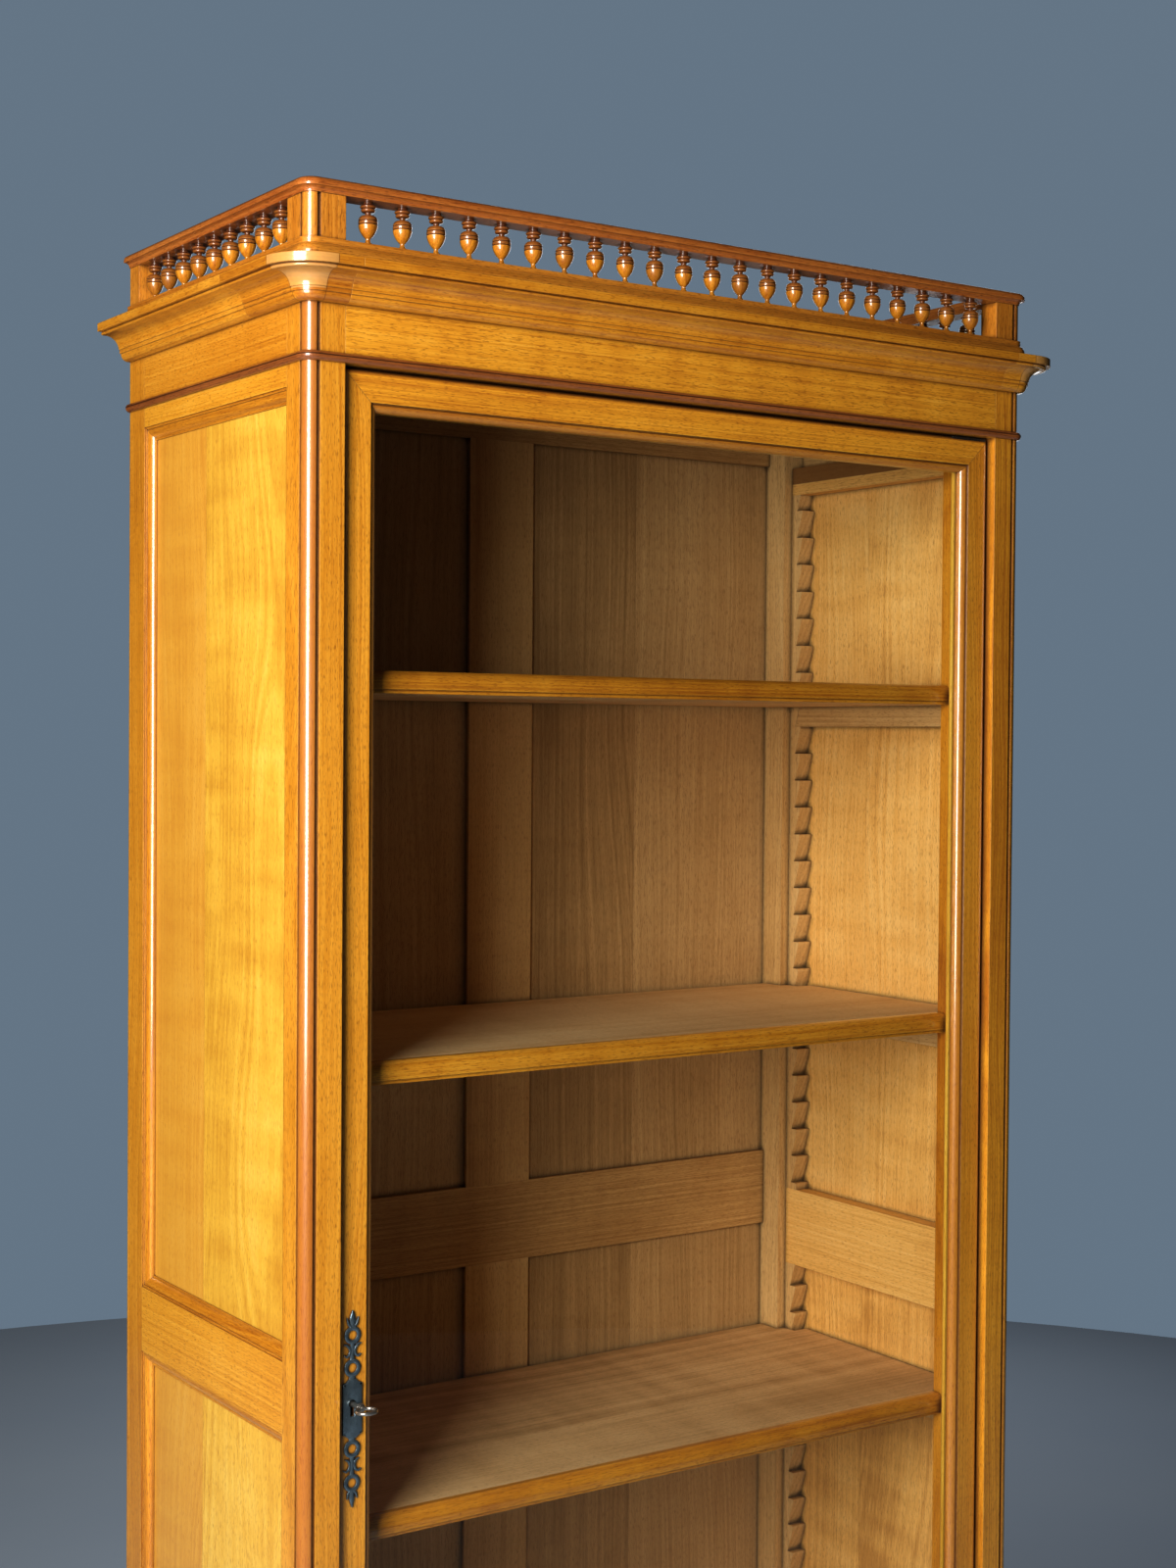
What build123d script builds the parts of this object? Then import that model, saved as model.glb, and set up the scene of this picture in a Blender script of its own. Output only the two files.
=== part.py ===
from build123d import *
import os

# A single-door glazed display cabinet in beech: a post and panel carcass, a
# pivot-hung mitred door, four shelves on toothed racks, and a balustrade on top.
# Millimetres. +Z is up, the door faces -Y, and X = 0 is the middle of the width.

# Carcass
carcass_width = 914
carcass_depth = 418
base_height = 78
opening_height = 1954
frieze_height = 54

# Corner posts
post_face = 40
post_side_flat = 41
front_post_depth = 55
front_post_lip = 28
column_radius = 10.5
quirk_width = 3.8
quirk_depth = 3
quirk_slope = 0.4
back_post_face = 40
back_post_depth = 54
back_post_thickness = 52

# Side frames and panels
side_thickness = 39
panel_recess = 9
panel_thickness = 9
groove_depth = 6
panel_moulding = 14
side_top_flat = 20.5
side_middle_flat = 68.5
side_bottom_flat = 40
side_rail_level = 983
side_board_seam = 240
side_frieze_thickness = 22
floor_clearance = 30
glue_line = 0.15

# Back frame
back_frame_thickness = 20
back_frame_inset = 4
back_panel_thickness = 8
back_panel_inset = 10
muntin_width = 88
back_middle_height = 94
back_middle_level = 1029
back_bottom_top = 150
back_top_rise = 5
back_board_seam = 199

# Front frame behind the door
front_rail_thickness = 34
head_stop_drop = 14
ceiling_thickness = 16
bottom_board_thickness = 18
bottom_board_rise = 12

# Top, cornice and bead
cornice_height = 37.5
cornice_projection = 37
cornice_depth = 24
cornice_front_joint = 40
cornice_side_joint = 110
top_board_thickness = 18
bead_height = 9
bead_projection = 5

# Plinth
plinth_projection = 10
base_moulding_height = 16
base_moulding_projection = 12

# Gallery
gallery_base_height = 21.5
gallery_base_projection = 8
gallery_post_height = 41.5
gallery_post_wall = 24
gallery_back_post = 24
gallery_rail_height = 13
gallery_rail_projection = 7.5
gallery_thickness = 24
front_baluster_count = 22
side_baluster_count = 9
front_baluster_inset = 29.5
side_baluster_inset = 36
back_baluster_inset = 14.7
baluster_radius = 9.2
baluster_neck = 2.6

# Door
door_gap = 1.5
door_recess = 9
door_thickness = 24
door_flat = 31
door_ovolo = 8.5
door_quirk = 2
door_edge_radius = 7
hinge_back_radius = 6
glass_depth = 12
glass_thickness = 3
glass_clearance = 0.5
glass_rebate_step = 0.5
bead_stick_width = 7.5
bead_stick_depth = 8

# Pivots
pivot_inset = 8.5
pivot_pin_radius = 3
pivot_clearance = 0.06
pivot_plate_length = 60
pivot_plate_width = 14
pivot_plate_thickness = 3
pivot_plate_end = 14
pivot_plate_nose = 2
pivot_collar_wall = 1.8
pivot_pin_room = 1
pivot_hole_length = 12
plate_screw_inset = 9
plate_screw_spacing = 21

# Lock, key and escutcheon
lock_inset = 15.5
lock_height = 64
lock_width = 28
lock_depth = 11
lock_wall = 1.5
lock_flange = 12
lock_clearance = 0.1
lock_screw_inset = 8
lock_screw_spacing = 12
bolt_height = 12
bolt_thickness = 5
bolt_rise = 5
bolt_throw = 9
bolt_clearance = 0.3
talon_height = 6
notch_left = 3.5
notch_right = 12.5
key_radius = 3
key_hole_radius = 3.5
key_slot_width = 4.2
key_slot_drop = 12
bit_reach = 9.5
bit_thickness = 3
bit_width = 4.4
key_reach = 40
bow_width = 23
bow_length = 21
bow_wire = 1.9
key_collar_rim = 1.6
key_collar_length = 3
key_neck = 4
escutcheon_thickness = 2.4
escutcheon_width = 23
escutcheon_above = 23
escutcheon_below = 33.5
escutcheon_top = 89
escutcheon_bottom = 99
stem_width = 3
ring_radius = 7.5
ring_hole = 4
upper_ring = 65
upper_collar = 33.5
lower_collar = -43
lower_ring = -75.5
upper_scroll = 49
lower_scroll = -60
scroll_half_height = 9
scroll_hole_offset = 5.5
scroll_hole_width = 6
scroll_hole_height = 9
finial_half_width = 3.5
escutcheon_pin_inset = 5
escutcheon_pin_edge = 3
escutcheon_pin_radius = 0.9
escutcheon_pin_depth = 7
strike_height = 60
strike_width = 14
strike_thickness = 1.5
strike_back_margin = 1
strike_screw_inset = 8

# Screws
screw_radius = 1.6
screw_head = 3.2
screw_length = 14

# Shelves, racks and cleats
rack_thickness = 21
rack_body = 10
tooth_depth = 10
tooth_pitch = 34.4
tooth_land = 3
upper_rack_offset = 8.2
lower_rack_offset = 27
shelf_thickness = 22
shelf_front = 37
shelf_clearance = 1
shelf_nose = 14
shelf_ledges = [("upper", 17), ("upper", 6), ("lower", 21), ("lower", 9)]
cleat_height = 25
cleat_clearance = 0.5

# Places that follow from the sizes above
half_width = carcass_width / 2
left = -half_width
front = -(carcass_depth + cornice_projection) / 2 + cornice_projection
back = front + carcass_depth
opening_top = base_height + opening_height
frieze_top = opening_top + frieze_height
cornice_top = frieze_top + cornice_height
gallery_base_top = cornice_top + gallery_base_height
gallery_post_top = gallery_base_top + gallery_post_height
panel_back = panel_recess + panel_thickness
stop_face = front_rail_thickness
lip_width = post_face + front_post_lip
back_post_start = carcass_depth - back_post_depth
side_front_groove = front_post_depth - groove_depth
side_back_groove = back_post_start + groove_depth
side_back_flat = carcass_depth - back_post_face

# Height of each side rail as its lower and upper edge, mouldings included
middle_low = base_height + side_rail_level - side_middle_flat / 2 - panel_moulding
middle_high = base_height + side_rail_level + side_middle_flat / 2 + panel_moulding
bottom_high = base_height + side_bottom_flat + panel_moulding
top_low = opening_top - side_top_flat - panel_moulding

# Door
door_left = left + post_face + door_gap
door_right = half_width - post_face - door_gap
door_bottom = base_height + door_gap
door_top = opening_top - door_gap
door_face = front + door_recess
door_back = door_face + door_thickness
door_width = door_right - door_left
door_height = door_top - door_bottom
sight = door_flat + door_ovolo
bead_near = door_flat + glass_rebate_step
pivot_x = door_right - pivot_inset
pivot_y = door_face + pivot_inset
lock_x = door_left + lock_inset
lock_z = base_height + opening_height / 2
lock_front = door_back - lock_depth
bolt_y = door_back - lock_depth / 2

nodes = []


def keep(builder, name):
    """Name a finished piece and remember it for writing out."""
    builder.part.label = name
    nodes.append(builder.part)


def bar(x0, x1, y0, y1, z0, z1, mode=Mode.ADD):
    """A rectangular piece between two corners."""
    with Locations(((x0 + x1) / 2, (y0 + y1) / 2, (z0 + z1) / 2)):
        Box(x1 - x0, y1 - y0, z1 - z0, mode=mode)


def side_bar(a0, a1, b0, b1, z0, z1, mode=Mode.ADD):
    """A bar on the left side: a is measured in from the outer face, b back from the front."""
    bar(left + a0, left + a1, front + b0, front + b1, z0, z1, mode)


def face_of(plane, outline):
    """A closed face on a plane, from a function that draws its edge."""
    with BuildSketch(plane) as section:
        with BuildLine():
            outline()
        make_face()
    return section.sketch


def turned_corner(outline, inner, low):
    """The quarter turn of a moulding about the front left corner column."""
    centre = (left + column_radius, front + column_radius, low)
    plane = Plane(origin=centre, x_dir=(-1, 0, 0), z_dir=(0, 1, 0))
    section = face_of(plane, lambda: outline(column_radius, inner))
    revolve(section, axis=Axis(centre, (0, 0, 1)), revolution_arc=90)


def front_run(outline, inner, low, start, end):
    """A moulding along the front, from distance start to end from the left corner."""
    plane = Plane(origin=(left + end, front, low), x_dir=(0, -1, 0), z_dir=(-1, 0, 0))
    extrude(face_of(plane, lambda: outline(0, -inner)), amount=end - start)


def side_run(outline, inner, low, start, end):
    """A moulding along the left side, from distance start to end behind the front."""
    plane = Plane(origin=(left, front + start, low), x_dir=(-1, 0, 0), z_dir=(0, 1, 0))
    extrude(face_of(plane, lambda: outline(0, -inner)), amount=end - start)


def screw(x, y, z, direction, mode=Mode.ADD):
    """A countersunk wood screw whose head is flush at the point and whose tip points along direction."""
    plane = Plane(origin=(x, y, z), z_dir=direction)
    with BuildSketch(Plane(origin=plane.origin, x_dir=plane.x_dir, z_dir=plane.y_dir)) as half:
        with BuildLine():
            Polyline(
                (0, 0),
                (screw_head, 0),
                (screw_radius, -screw_head + screw_radius),
                (screw_radius, -screw_length + screw_radius),
                (0, -screw_length),
                close=True,
            )
        make_face()
    revolve(half.sketch, axis=Axis(plane.origin, plane.z_dir), mode=mode)


# Corner posts: the front ones carry a quarter column between two quirks, the
# back ones are plain.
def column_post_outline(*inner_edge):
    """A post with a corner column: its outer faces, closed by the given inner points."""
    quirk_end = column_radius + quirk_width
    Polyline(
        (column_radius, 0),
        (column_radius + quirk_slope, quirk_depth),
        (quirk_end - quirk_slope, quirk_depth),
        (quirk_end, 0),
        (post_face, 0),
        *inner_edge,
        (0, post_side_flat),
        (0, quirk_end),
        (quirk_depth, quirk_end - quirk_slope),
        (quirk_depth, column_radius + quirk_slope),
        (0, column_radius),
    )
    CenterArc((column_radius, column_radius), column_radius, 180, 90)


def front_post_outline():
    column_post_outline(
        (post_face, front_post_depth),
        (panel_back, front_post_depth),
        (panel_back, side_front_groove),
        (panel_recess, side_front_groove),
        (panel_recess, post_side_flat),
    )


# The strike plate and the mortise behind it are let into the left post.
strike_x = left + post_face
strike_half = strike_height / 2
strike_screw_levels = (
    lock_z - strike_half + strike_screw_inset,
    lock_z + strike_half - strike_screw_inset,
)
bolt_low = lock_z + bolt_rise
bolt_high = bolt_low + bolt_height
slot_half = bolt_thickness / 2 + bolt_clearance


def strike_body(mode):
    bar(
        strike_x - strike_thickness,
        strike_x,
        bolt_y - strike_width / 2,
        bolt_y + strike_width / 2 - strike_back_margin,
        lock_z - strike_half,
        lock_z + strike_half,
        mode,
    )


def bolt_mortise(depth):
    bar(
        strike_x - depth,
        strike_x,
        bolt_y - slot_half,
        bolt_y + slot_half,
        bolt_low - bolt_clearance,
        bolt_high + bolt_clearance,
        Mode.SUBTRACT,
    )


def strike_screw_set(mode):
    for level in strike_screw_levels:
        screw(strike_x, bolt_y, level, (-1, 0, 0), mode)


with BuildPart() as strike_plate:
    strike_body(Mode.ADD)
    bolt_mortise(strike_thickness)
    strike_screw_set(Mode.SUBTRACT)
keep(strike_plate, "strike_plate")

with BuildPart() as front_left_post:
    extrude(face_of(Plane((left, front, 0)), front_post_outline), amount=frieze_top)
    strike_body(Mode.SUBTRACT)
    bolt_mortise(bolt_throw)
    strike_screw_set(Mode.SUBTRACT)
with BuildPart() as plain_post:
    extrude(face_of(Plane((left, front, 0)), front_post_outline), amount=frieze_top)
with BuildPart() as front_right_post:
    mirror(plain_post.part, about=Plane.YZ)
keep(front_left_post, "front_left_post")
keep(front_right_post, "front_right_post")

# Strips planted on the posts, against which the door shuts
with BuildPart() as door_stop_strips:
    side_bar(post_face, lip_width, stop_face, front_post_depth, 0, frieze_top)
    mirror(about=Plane.YZ)
keep(door_stop_strips, "door_stop_strips")

# Back frame: the sizes that its grooves and panels share
frame_front = back - back_frame_inset - back_frame_thickness
frame_back = back - back_frame_inset
back_panel_front = back - back_panel_inset - back_panel_thickness
back_panel_back = back - back_panel_inset
back_half = half_width - back_post_thickness
back_middle_low = base_height + back_middle_level - back_middle_height / 2
back_middle_high = back_middle_low + back_middle_height
back_top_low = opening_top + back_top_rise
back_levels = [(back_bottom_top, back_middle_low), (back_middle_high, back_top_low)]


def back_panel_cuts(mode):
    """The four openings of the back frame, each with its tongue all round."""
    for low, high in back_levels:
        for near, far in ((-back_half, -muntin_width / 2), (muntin_width / 2, back_half)):
            bar(
                near - groove_depth,
                far + groove_depth,
                back_panel_front,
                back_panel_back,
                low - groove_depth,
                high + groove_depth,
                mode,
            )


def back_post_outline():
    Polyline(
        (0, carcass_depth),
        (0, side_back_flat),
        (panel_recess, side_back_flat),
        (panel_recess, side_back_groove),
        (panel_back, side_back_groove),
        (panel_back, back_post_start),
        (back_post_thickness, back_post_start),
        (back_post_thickness, carcass_depth),
        close=True,
    )


with BuildPart() as back_left_post:
    extrude(face_of(Plane((left, front, 0)), back_post_outline), amount=frieze_top)
    back_panel_cuts(Mode.SUBTRACT)
with BuildPart() as back_right_post:
    mirror(back_left_post.part, about=Plane.YZ)
keep(back_left_post, "back_left_post")
keep(back_right_post, "back_right_post")


# Side rails: stepped at their ends and edges, so that the outer layer meets the
# posts' flats, the middle layer is the tenon and the tongue's groove wall.
def side_rail(low, high, panel_below, panel_above, thickness):
    below = panel_moulding if panel_below else 0
    above = panel_moulding if panel_above else 0
    tongue_below = groove_depth if panel_below else 0
    tongue_above = groove_depth if panel_above else 0
    side_bar(panel_back, thickness, front_post_depth, back_post_start, low, high)
    side_bar(
        panel_recess,
        panel_back,
        side_front_groove,
        side_back_groove,
        low + tongue_below,
        high - tongue_above,
    )
    side_bar(0, panel_recess, post_side_flat, side_back_flat, low + below, high - above)


with BuildPart() as left_side_rails:
    side_rail(top_low, opening_top, True, False, side_thickness)
    side_rail(middle_low, middle_high, True, True, side_thickness)
    side_rail(floor_clearance, bottom_high, False, True, side_thickness)
keep(left_side_rails, "left_side_rails")
with BuildPart() as right_side_rails:
    mirror(left_side_rails.part, about=Plane.YZ)
keep(right_side_rails, "right_side_rails")

# Each side panel is glued up from two boards and sits in the grooves.
panel_levels = [(bottom_high, middle_low), (middle_high, top_low)]
with BuildPart() as side_panels:
    for low, high in panel_levels:
        for start, end in (
            (side_front_groove, side_board_seam - glue_line / 2),
            (side_board_seam + glue_line / 2, side_back_groove),
        ):
            side_bar(panel_recess, panel_back, start, end, low - groove_depth, high + groove_depth)
    mirror(about=Plane.YZ)
keep(side_panels, "side_panels")


# Mitred mouldings round the outside of the side panels: a fillet, an ovolo and a listel.
def panel_moulding_outline():
    Polyline(
        (0, 0),
        (0, panel_recess - 1.2),
        (2.5, panel_recess - 1.2),
        (2.5, panel_recess - 2.4),
    )
    ThreePointArc((2.5, panel_recess - 2.4), (8.6, 4.6), (11, 1.2))
    Polyline((11, 1.2), (panel_moulding, 1.2), (panel_moulding, 0), (0, 0))


def mitre_cuts(corners):
    """Hairline joints across the corners of a frame on the left side."""
    for y, z, slope in corners:
        with Locations(Location((left + panel_recess / 2, y, z), (slope, 0, 0))):
            Box(panel_recess * 2, glue_line, panel_moulding * 4, mode=Mode.SUBTRACT)


with BuildPart() as side_panel_mouldings:
    y0 = front + post_side_flat
    y1 = front + side_back_flat
    for low, high in panel_levels:
        z0 = low - panel_moulding
        z1 = high + panel_moulding
        middle = (y0 + y1) / 2
        with BuildLine() as loop:
            Polyline(
                (left + panel_recess, middle, z0),
                (left + panel_recess, y0, z0),
                (left + panel_recess, y0, z1),
                (left + panel_recess, y1, z1),
                (left + panel_recess, y1, z0),
                close=True,
            )
        start = Plane(
            origin=(left + panel_recess, middle, z0), x_dir=(0, 0, 1), z_dir=(0, -1, 0)
        )
        section = face_of(start, panel_moulding_outline)
        sweep(section, path=loop.wire(), transition=Transition.RIGHT)
        mitre_cuts([(y0, z0, -45), (y1, z1, -45), (y0, z1, 45), (y1, z0, 45)])
    mirror(about=Plane.YZ)
keep(side_panel_mouldings, "side_panel_mouldings")

# Frieze boards between the posts. The front one is also the head of the door
# opening, and the stop behind it hangs down behind the door.
with BuildPart() as side_friezes:
    side_rail(opening_top, frieze_top, False, False, side_frieze_thickness)
    mirror(about=Plane.YZ)
keep(side_friezes, "side_friezes")

opening_half = half_width - post_face
ceiling_low = frieze_top - ceiling_thickness
with BuildPart() as head_stop_rail:
    bar(
        -half_width + lip_width,
        half_width - lip_width,
        front + stop_face,
        front + front_post_depth,
        opening_top - head_stop_drop,
        ceiling_low,
    )
keep(head_stop_rail, "head_stop_rail")


def inside_board(side_wall, low, thickness):
    """A board that fills the carcass between the stop strips, the sides and the back frame."""
    with BuildSketch(Plane.XY.offset(low)) as plan:
        with BuildLine():
            Polyline(
                (0, front + stop_face),
                (half_width - lip_width, front + stop_face),
                (half_width - lip_width, front + front_post_depth),
                (half_width - side_wall, front + front_post_depth),
                (half_width - side_wall, front + back_post_start),
                (back_half, front + back_post_start),
                (back_half, frame_front),
                (0, frame_front),
                close=True,
            )
        make_face()
        mirror(about=Plane.YZ)
    extrude(plan.sketch, amount=thickness)


with BuildPart() as ceiling_board:
    inside_board(side_frieze_thickness, ceiling_low, ceiling_thickness)
keep(ceiling_board, "ceiling_board")

bottom_board_low = base_height + bottom_board_rise - bottom_board_thickness
with BuildPart() as bottom_board:
    inside_board(side_thickness, bottom_board_low, bottom_board_thickness)
keep(bottom_board, "bottom_board")

# Pivot plates: one pair above the door and one below it, screwed flush. The
# door's plate carries the pin, the frame's plate has the hole it turns in.
plate_left = pivot_x + pivot_plate_end - pivot_plate_length
plate_front = pivot_y - pivot_plate_width / 2
plate_back = pivot_y + pivot_plate_width / 2
plate_screws = [
    plate_left + plate_screw_inset,
    plate_left + plate_screw_inset + plate_screw_spacing,
]


def pivot_plate_body(low, mode):
    bar(
        plate_left,
        pivot_x + pivot_pin_radius + pivot_plate_nose,
        plate_front,
        plate_back,
        low,
        low + pivot_plate_thickness,
        mode,
    )


def frame_plate_screws(mode):
    for x in plate_screws:
        screw(x, pivot_y, opening_top, (0, 0, 1), mode)
        screw(x, pivot_y, base_height, (0, 0, -1), mode)


def pin_room(level):
    """Room in the wood for the end of a pivot pin."""
    with Locations((pivot_x, pivot_y, level)):
        Cylinder(pivot_pin_radius + pivot_pin_room, pivot_hole_length, mode=Mode.SUBTRACT)


pin_length = door_gap + pivot_plate_thickness - 0.3
frame_plate_levels = [opening_top, base_height - pivot_plate_thickness]
with BuildPart() as frame_pivot_plates:
    for low in frame_plate_levels:
        pivot_plate_body(low, Mode.ADD)
    with Locations((pivot_x, pivot_y, base_height + door_gap / 2)):
        Cylinder(pivot_pin_radius + pivot_collar_wall, door_gap)
    with Locations((pivot_x, pivot_y, opening_top), (pivot_x, pivot_y, base_height)):
        Cylinder(pivot_pin_radius + pivot_clearance, pivot_hole_length, mode=Mode.SUBTRACT)
    frame_plate_screws(Mode.SUBTRACT)
keep(frame_pivot_plates, "frame_pivot_plates")

with BuildPart() as frame_screws:
    frame_plate_screws(Mode.ADD)
    strike_screw_set(Mode.ADD)
keep(frame_screws, "frame_screws")

with BuildPart() as front_frieze:
    bar(-opening_half, opening_half, front, front + front_rail_thickness, opening_top, frieze_top)
    pivot_plate_body(opening_top, Mode.SUBTRACT)
    pin_room(opening_top)
    frame_plate_screws(Mode.SUBTRACT)
keep(front_frieze, "front_frieze")

with BuildPart() as bottom_rail:
    bar(
        -opening_half,
        opening_half,
        front,
        front + front_rail_thickness,
        floor_clearance,
        base_height,
    )
    pivot_plate_body(base_height - pivot_plate_thickness, Mode.SUBTRACT)
    pin_room(base_height)
    frame_plate_screws(Mode.SUBTRACT)
keep(bottom_rail, "bottom_rail")


# The bead under the frieze is a half round that rings the corner columns.
def bead_outline(offset, inner):
    Line((offset, 0), (offset, bead_height))
    ThreePointArc(
        (offset, bead_height), (offset + bead_projection, bead_height / 2), (offset, 0)
    )


def ring_joints(depth, low, high):
    """Hairline joints of a planted moulding, at the inner edge of each front post."""
    for x in (-opening_half, opening_half):
        bar(
            x - glue_line / 2,
            x + glue_line / 2,
            front - depth - 1,
            front + 1,
            low,
            high,
            Mode.SUBTRACT,
        )


with BuildPart() as frieze_bead:
    turned_corner(bead_outline, 0, opening_top)
    front_run(bead_outline, 0, opening_top, column_radius, half_width)
    side_run(bead_outline, 0, opening_top, column_radius, carcass_depth)
    mirror(about=Plane.YZ)
    ring_joints(bead_projection, opening_top, opening_top + bead_height)
keep(frieze_bead, "frieze_bead")


# Cornice: ovolo, fillet, large cavetto, bead and top fillet
def cornice_outline(offset, inner):
    top = cornice_projection + offset
    Line((inner, cornice_height), (inner, 0))
    Line((inner, 0), (offset + 2.5, 0))
    ThreePointArc((offset + 2.5, 0), (offset + 8.2, 2.3), (offset + 10.5, 8))
    Polyline((offset + 10.5, 8), (offset + 12, 8), (offset + 12, 12), (offset + 13, 12))
    ThreePointArc((offset + 13, 12), (offset + 17.8, 21.7), (offset + 28, 25.5))
    Line((offset + 28, 25.5), (offset + 31, 25.5))
    ThreePointArc((offset + 31, 25.5), (offset + 32.8, 27.2), (offset + 31, 29))
    Polyline((offset + 31, 29), (top, 29), (top, cornice_height), (inner, cornice_height))


with BuildPart() as cornice_front:
    front_run(
        cornice_outline,
        cornice_depth,
        frieze_top,
        cornice_front_joint,
        carcass_width - cornice_front_joint,
    )
keep(cornice_front, "cornice_front")
with BuildPart() as cornice_sides:
    side_run(cornice_outline, cornice_depth, frieze_top, cornice_side_joint, carcass_depth)
    mirror(about=Plane.YZ)
keep(cornice_sides, "cornice_sides")
with BuildPart() as cornice_corner_blocks:
    turned_corner(cornice_outline, 0, frieze_top)
    front_run(cornice_outline, cornice_depth, frieze_top, column_radius, cornice_front_joint)
    side_run(cornice_outline, cornice_depth, frieze_top, column_radius, cornice_side_joint)
    mirror(about=Plane.YZ)
keep(cornice_corner_blocks, "cornice_corner_blocks")

with BuildPart() as top_board:
    bar(
        left + cornice_depth,
        half_width - cornice_depth,
        front + cornice_depth,
        back,
        cornice_top - top_board_thickness,
        cornice_top,
    )
keep(top_board, "top_board")


# Plinth boards planted round the feet of the posts, with a moulding on top
def plinth_outline(offset, inner):
    high = base_height - base_moulding_height
    Polyline(
        (offset, 0),
        (offset + plinth_projection, 0),
        (offset + plinth_projection, high),
        (offset, high),
        close=True,
    )


def base_moulding_outline(offset, inner):
    top = base_moulding_height
    Line((offset, top), (offset, 0))
    proud = offset + base_moulding_projection
    Polyline((offset, 0), (proud, 0), (proud, 4), (proud - 1.5, 4))
    ThreePointArc((proud - 1.5, 4), (offset + 5, 6.5), (offset + 3, 12))
    Polyline((offset + 3, 12), (offset + 1.5, 12), (offset + 1.5, top), (offset, top))


with BuildPart() as plinth_boards:
    turned_corner(plinth_outline, 0, 0)
    front_run(plinth_outline, 0, 0, column_radius, half_width)
    side_run(plinth_outline, 0, 0, column_radius, carcass_depth)
    mirror(about=Plane.YZ)
    ring_joints(plinth_projection, 0, base_height)
keep(plinth_boards, "plinth_boards")
base_low = base_height - base_moulding_height
with BuildPart() as base_moulding:
    turned_corner(base_moulding_outline, 0, base_low)
    front_run(base_moulding_outline, 0, base_low, column_radius, half_width)
    side_run(base_moulding_outline, 0, base_low, column_radius, carcass_depth)
    mirror(about=Plane.YZ)
    ring_joints(base_moulding_projection, base_low, base_height)
keep(base_moulding, "base_moulding")

# Back frame: three rails, two muntins and four panels of two boards each
with BuildPart() as back_rails:
    bar(-back_half, back_half, frame_front, frame_back, floor_clearance, back_bottom_top)
    bar(-back_half, back_half, frame_front, frame_back, back_middle_low, back_middle_high)
    bar(
        -back_half,
        back_half,
        frame_front,
        frame_back,
        back_top_low,
        cornice_top - top_board_thickness,
    )
    back_panel_cuts(Mode.SUBTRACT)
keep(back_rails, "back_rails")
with BuildPart() as back_muntins:
    for low, high in back_levels:
        bar(-muntin_width / 2, muntin_width / 2, frame_front, frame_back, low, high)
    back_panel_cuts(Mode.SUBTRACT)
keep(back_muntins, "back_muntins")
with BuildPart() as back_panels:
    back_panel_cuts(Mode.ADD)
    for x in (-back_board_seam, back_board_seam):
        bar(
            x - glue_line / 2,
            x + glue_line / 2,
            back_panel_front,
            back_panel_back,
            0,
            frieze_top,
            Mode.SUBTRACT,
        )
keep(back_panels, "back_panels")


# Toothed racks, one above and one below the middle rail in each corner. The
# teeth of the front racks face back, those of the back racks face forward.
rack_spans = {
    "lower": (bottom_high, middle_low, bottom_high + lower_rack_offset),
    "upper": (middle_high, top_low, middle_high + upper_rack_offset),
}
slope_rise = tooth_pitch - tooth_land


def rack_outline(direction, start, low, high, first):
    """The saw-tooth edge, drawn as depth along direction from start against height."""
    tip = rack_body + tooth_depth

    def at(depth, level):
        return (start + direction * depth, level)

    points = [at(0, low), at(tip, low)]
    ledge = first
    while ledge + tooth_pitch < high:
        points += [at(tip, ledge), at(rack_body, ledge), at(tip, ledge + slope_rise)]
        ledge += tooth_pitch
    points += [at(tip, ledge), at(rack_body, ledge)]
    if ledge + slope_rise < high:
        points += [at(tip, ledge + slope_rise), at(tip, high)]
    else:
        points += [at(rack_body + tooth_depth * (high - ledge) / slope_rise, high)]
    points += [at(0, high)]
    Polyline(*points, close=True)


def rack_pair(direction, start):
    for low, high, first in rack_spans.values():
        plane = Plane(origin=(left + panel_back, 0, 0), x_dir=(0, 1, 0), z_dir=(1, 0, 0))
        outline = face_of(plane, lambda: rack_outline(direction, start, low, high, first))
        extrude(outline, amount=rack_thickness)


with BuildPart() as left_racks:
    rack_pair(1, front + front_post_depth)
    rack_pair(-1, front + back_post_start)
keep(left_racks, "left_racks")
with BuildPart() as right_racks:
    mirror(left_racks.part, about=Plane.YZ)
keep(right_racks, "right_racks")


# Shelves rest on loose cleats whose ends sit on the racks' ledges. Each shelf
# is notched round the racks, the posts and the front lips.
rack_face = panel_back + rack_thickness
rack_reach = rack_body + tooth_depth
rack_front_end = front_post_depth + rack_reach
rack_back_start = back_post_start - rack_reach


def shelf_plan():
    c = shelf_clearance
    Polyline(
        (0, front + shelf_front + shelf_nose),
        (half_width - lip_width - c, front + shelf_front + shelf_nose),
        (half_width - lip_width - c, front + front_post_depth + c),
        (half_width - rack_face - c, front + front_post_depth + c),
        (half_width - rack_face - c, front + rack_front_end + c),
        (half_width - panel_back - c, front + rack_front_end + c),
        (half_width - panel_back - c, front + rack_back_start - c),
        (half_width - rack_face - c, front + rack_back_start - c),
        (half_width - rack_face - c, front + back_post_start - c),
        (back_half - c, front + back_post_start - c),
        (back_half - c, frame_front - c),
        (0, frame_front - c),
        close=True,
    )


def shelf_nose_outline():
    """The moulded front edge: a fillet at the bottom, then an ovolo up to the top."""
    Line((shelf_nose, shelf_thickness), (shelf_nose, 0))
    Polyline((shelf_nose, 0), (3, 0), (3, 4), (0.5, 4), (0.5, 7))
    ThreePointArc((0.5, 7), (2.8, 17), (9, shelf_thickness))
    Line((9, shelf_thickness), (shelf_nose, shelf_thickness))


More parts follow.
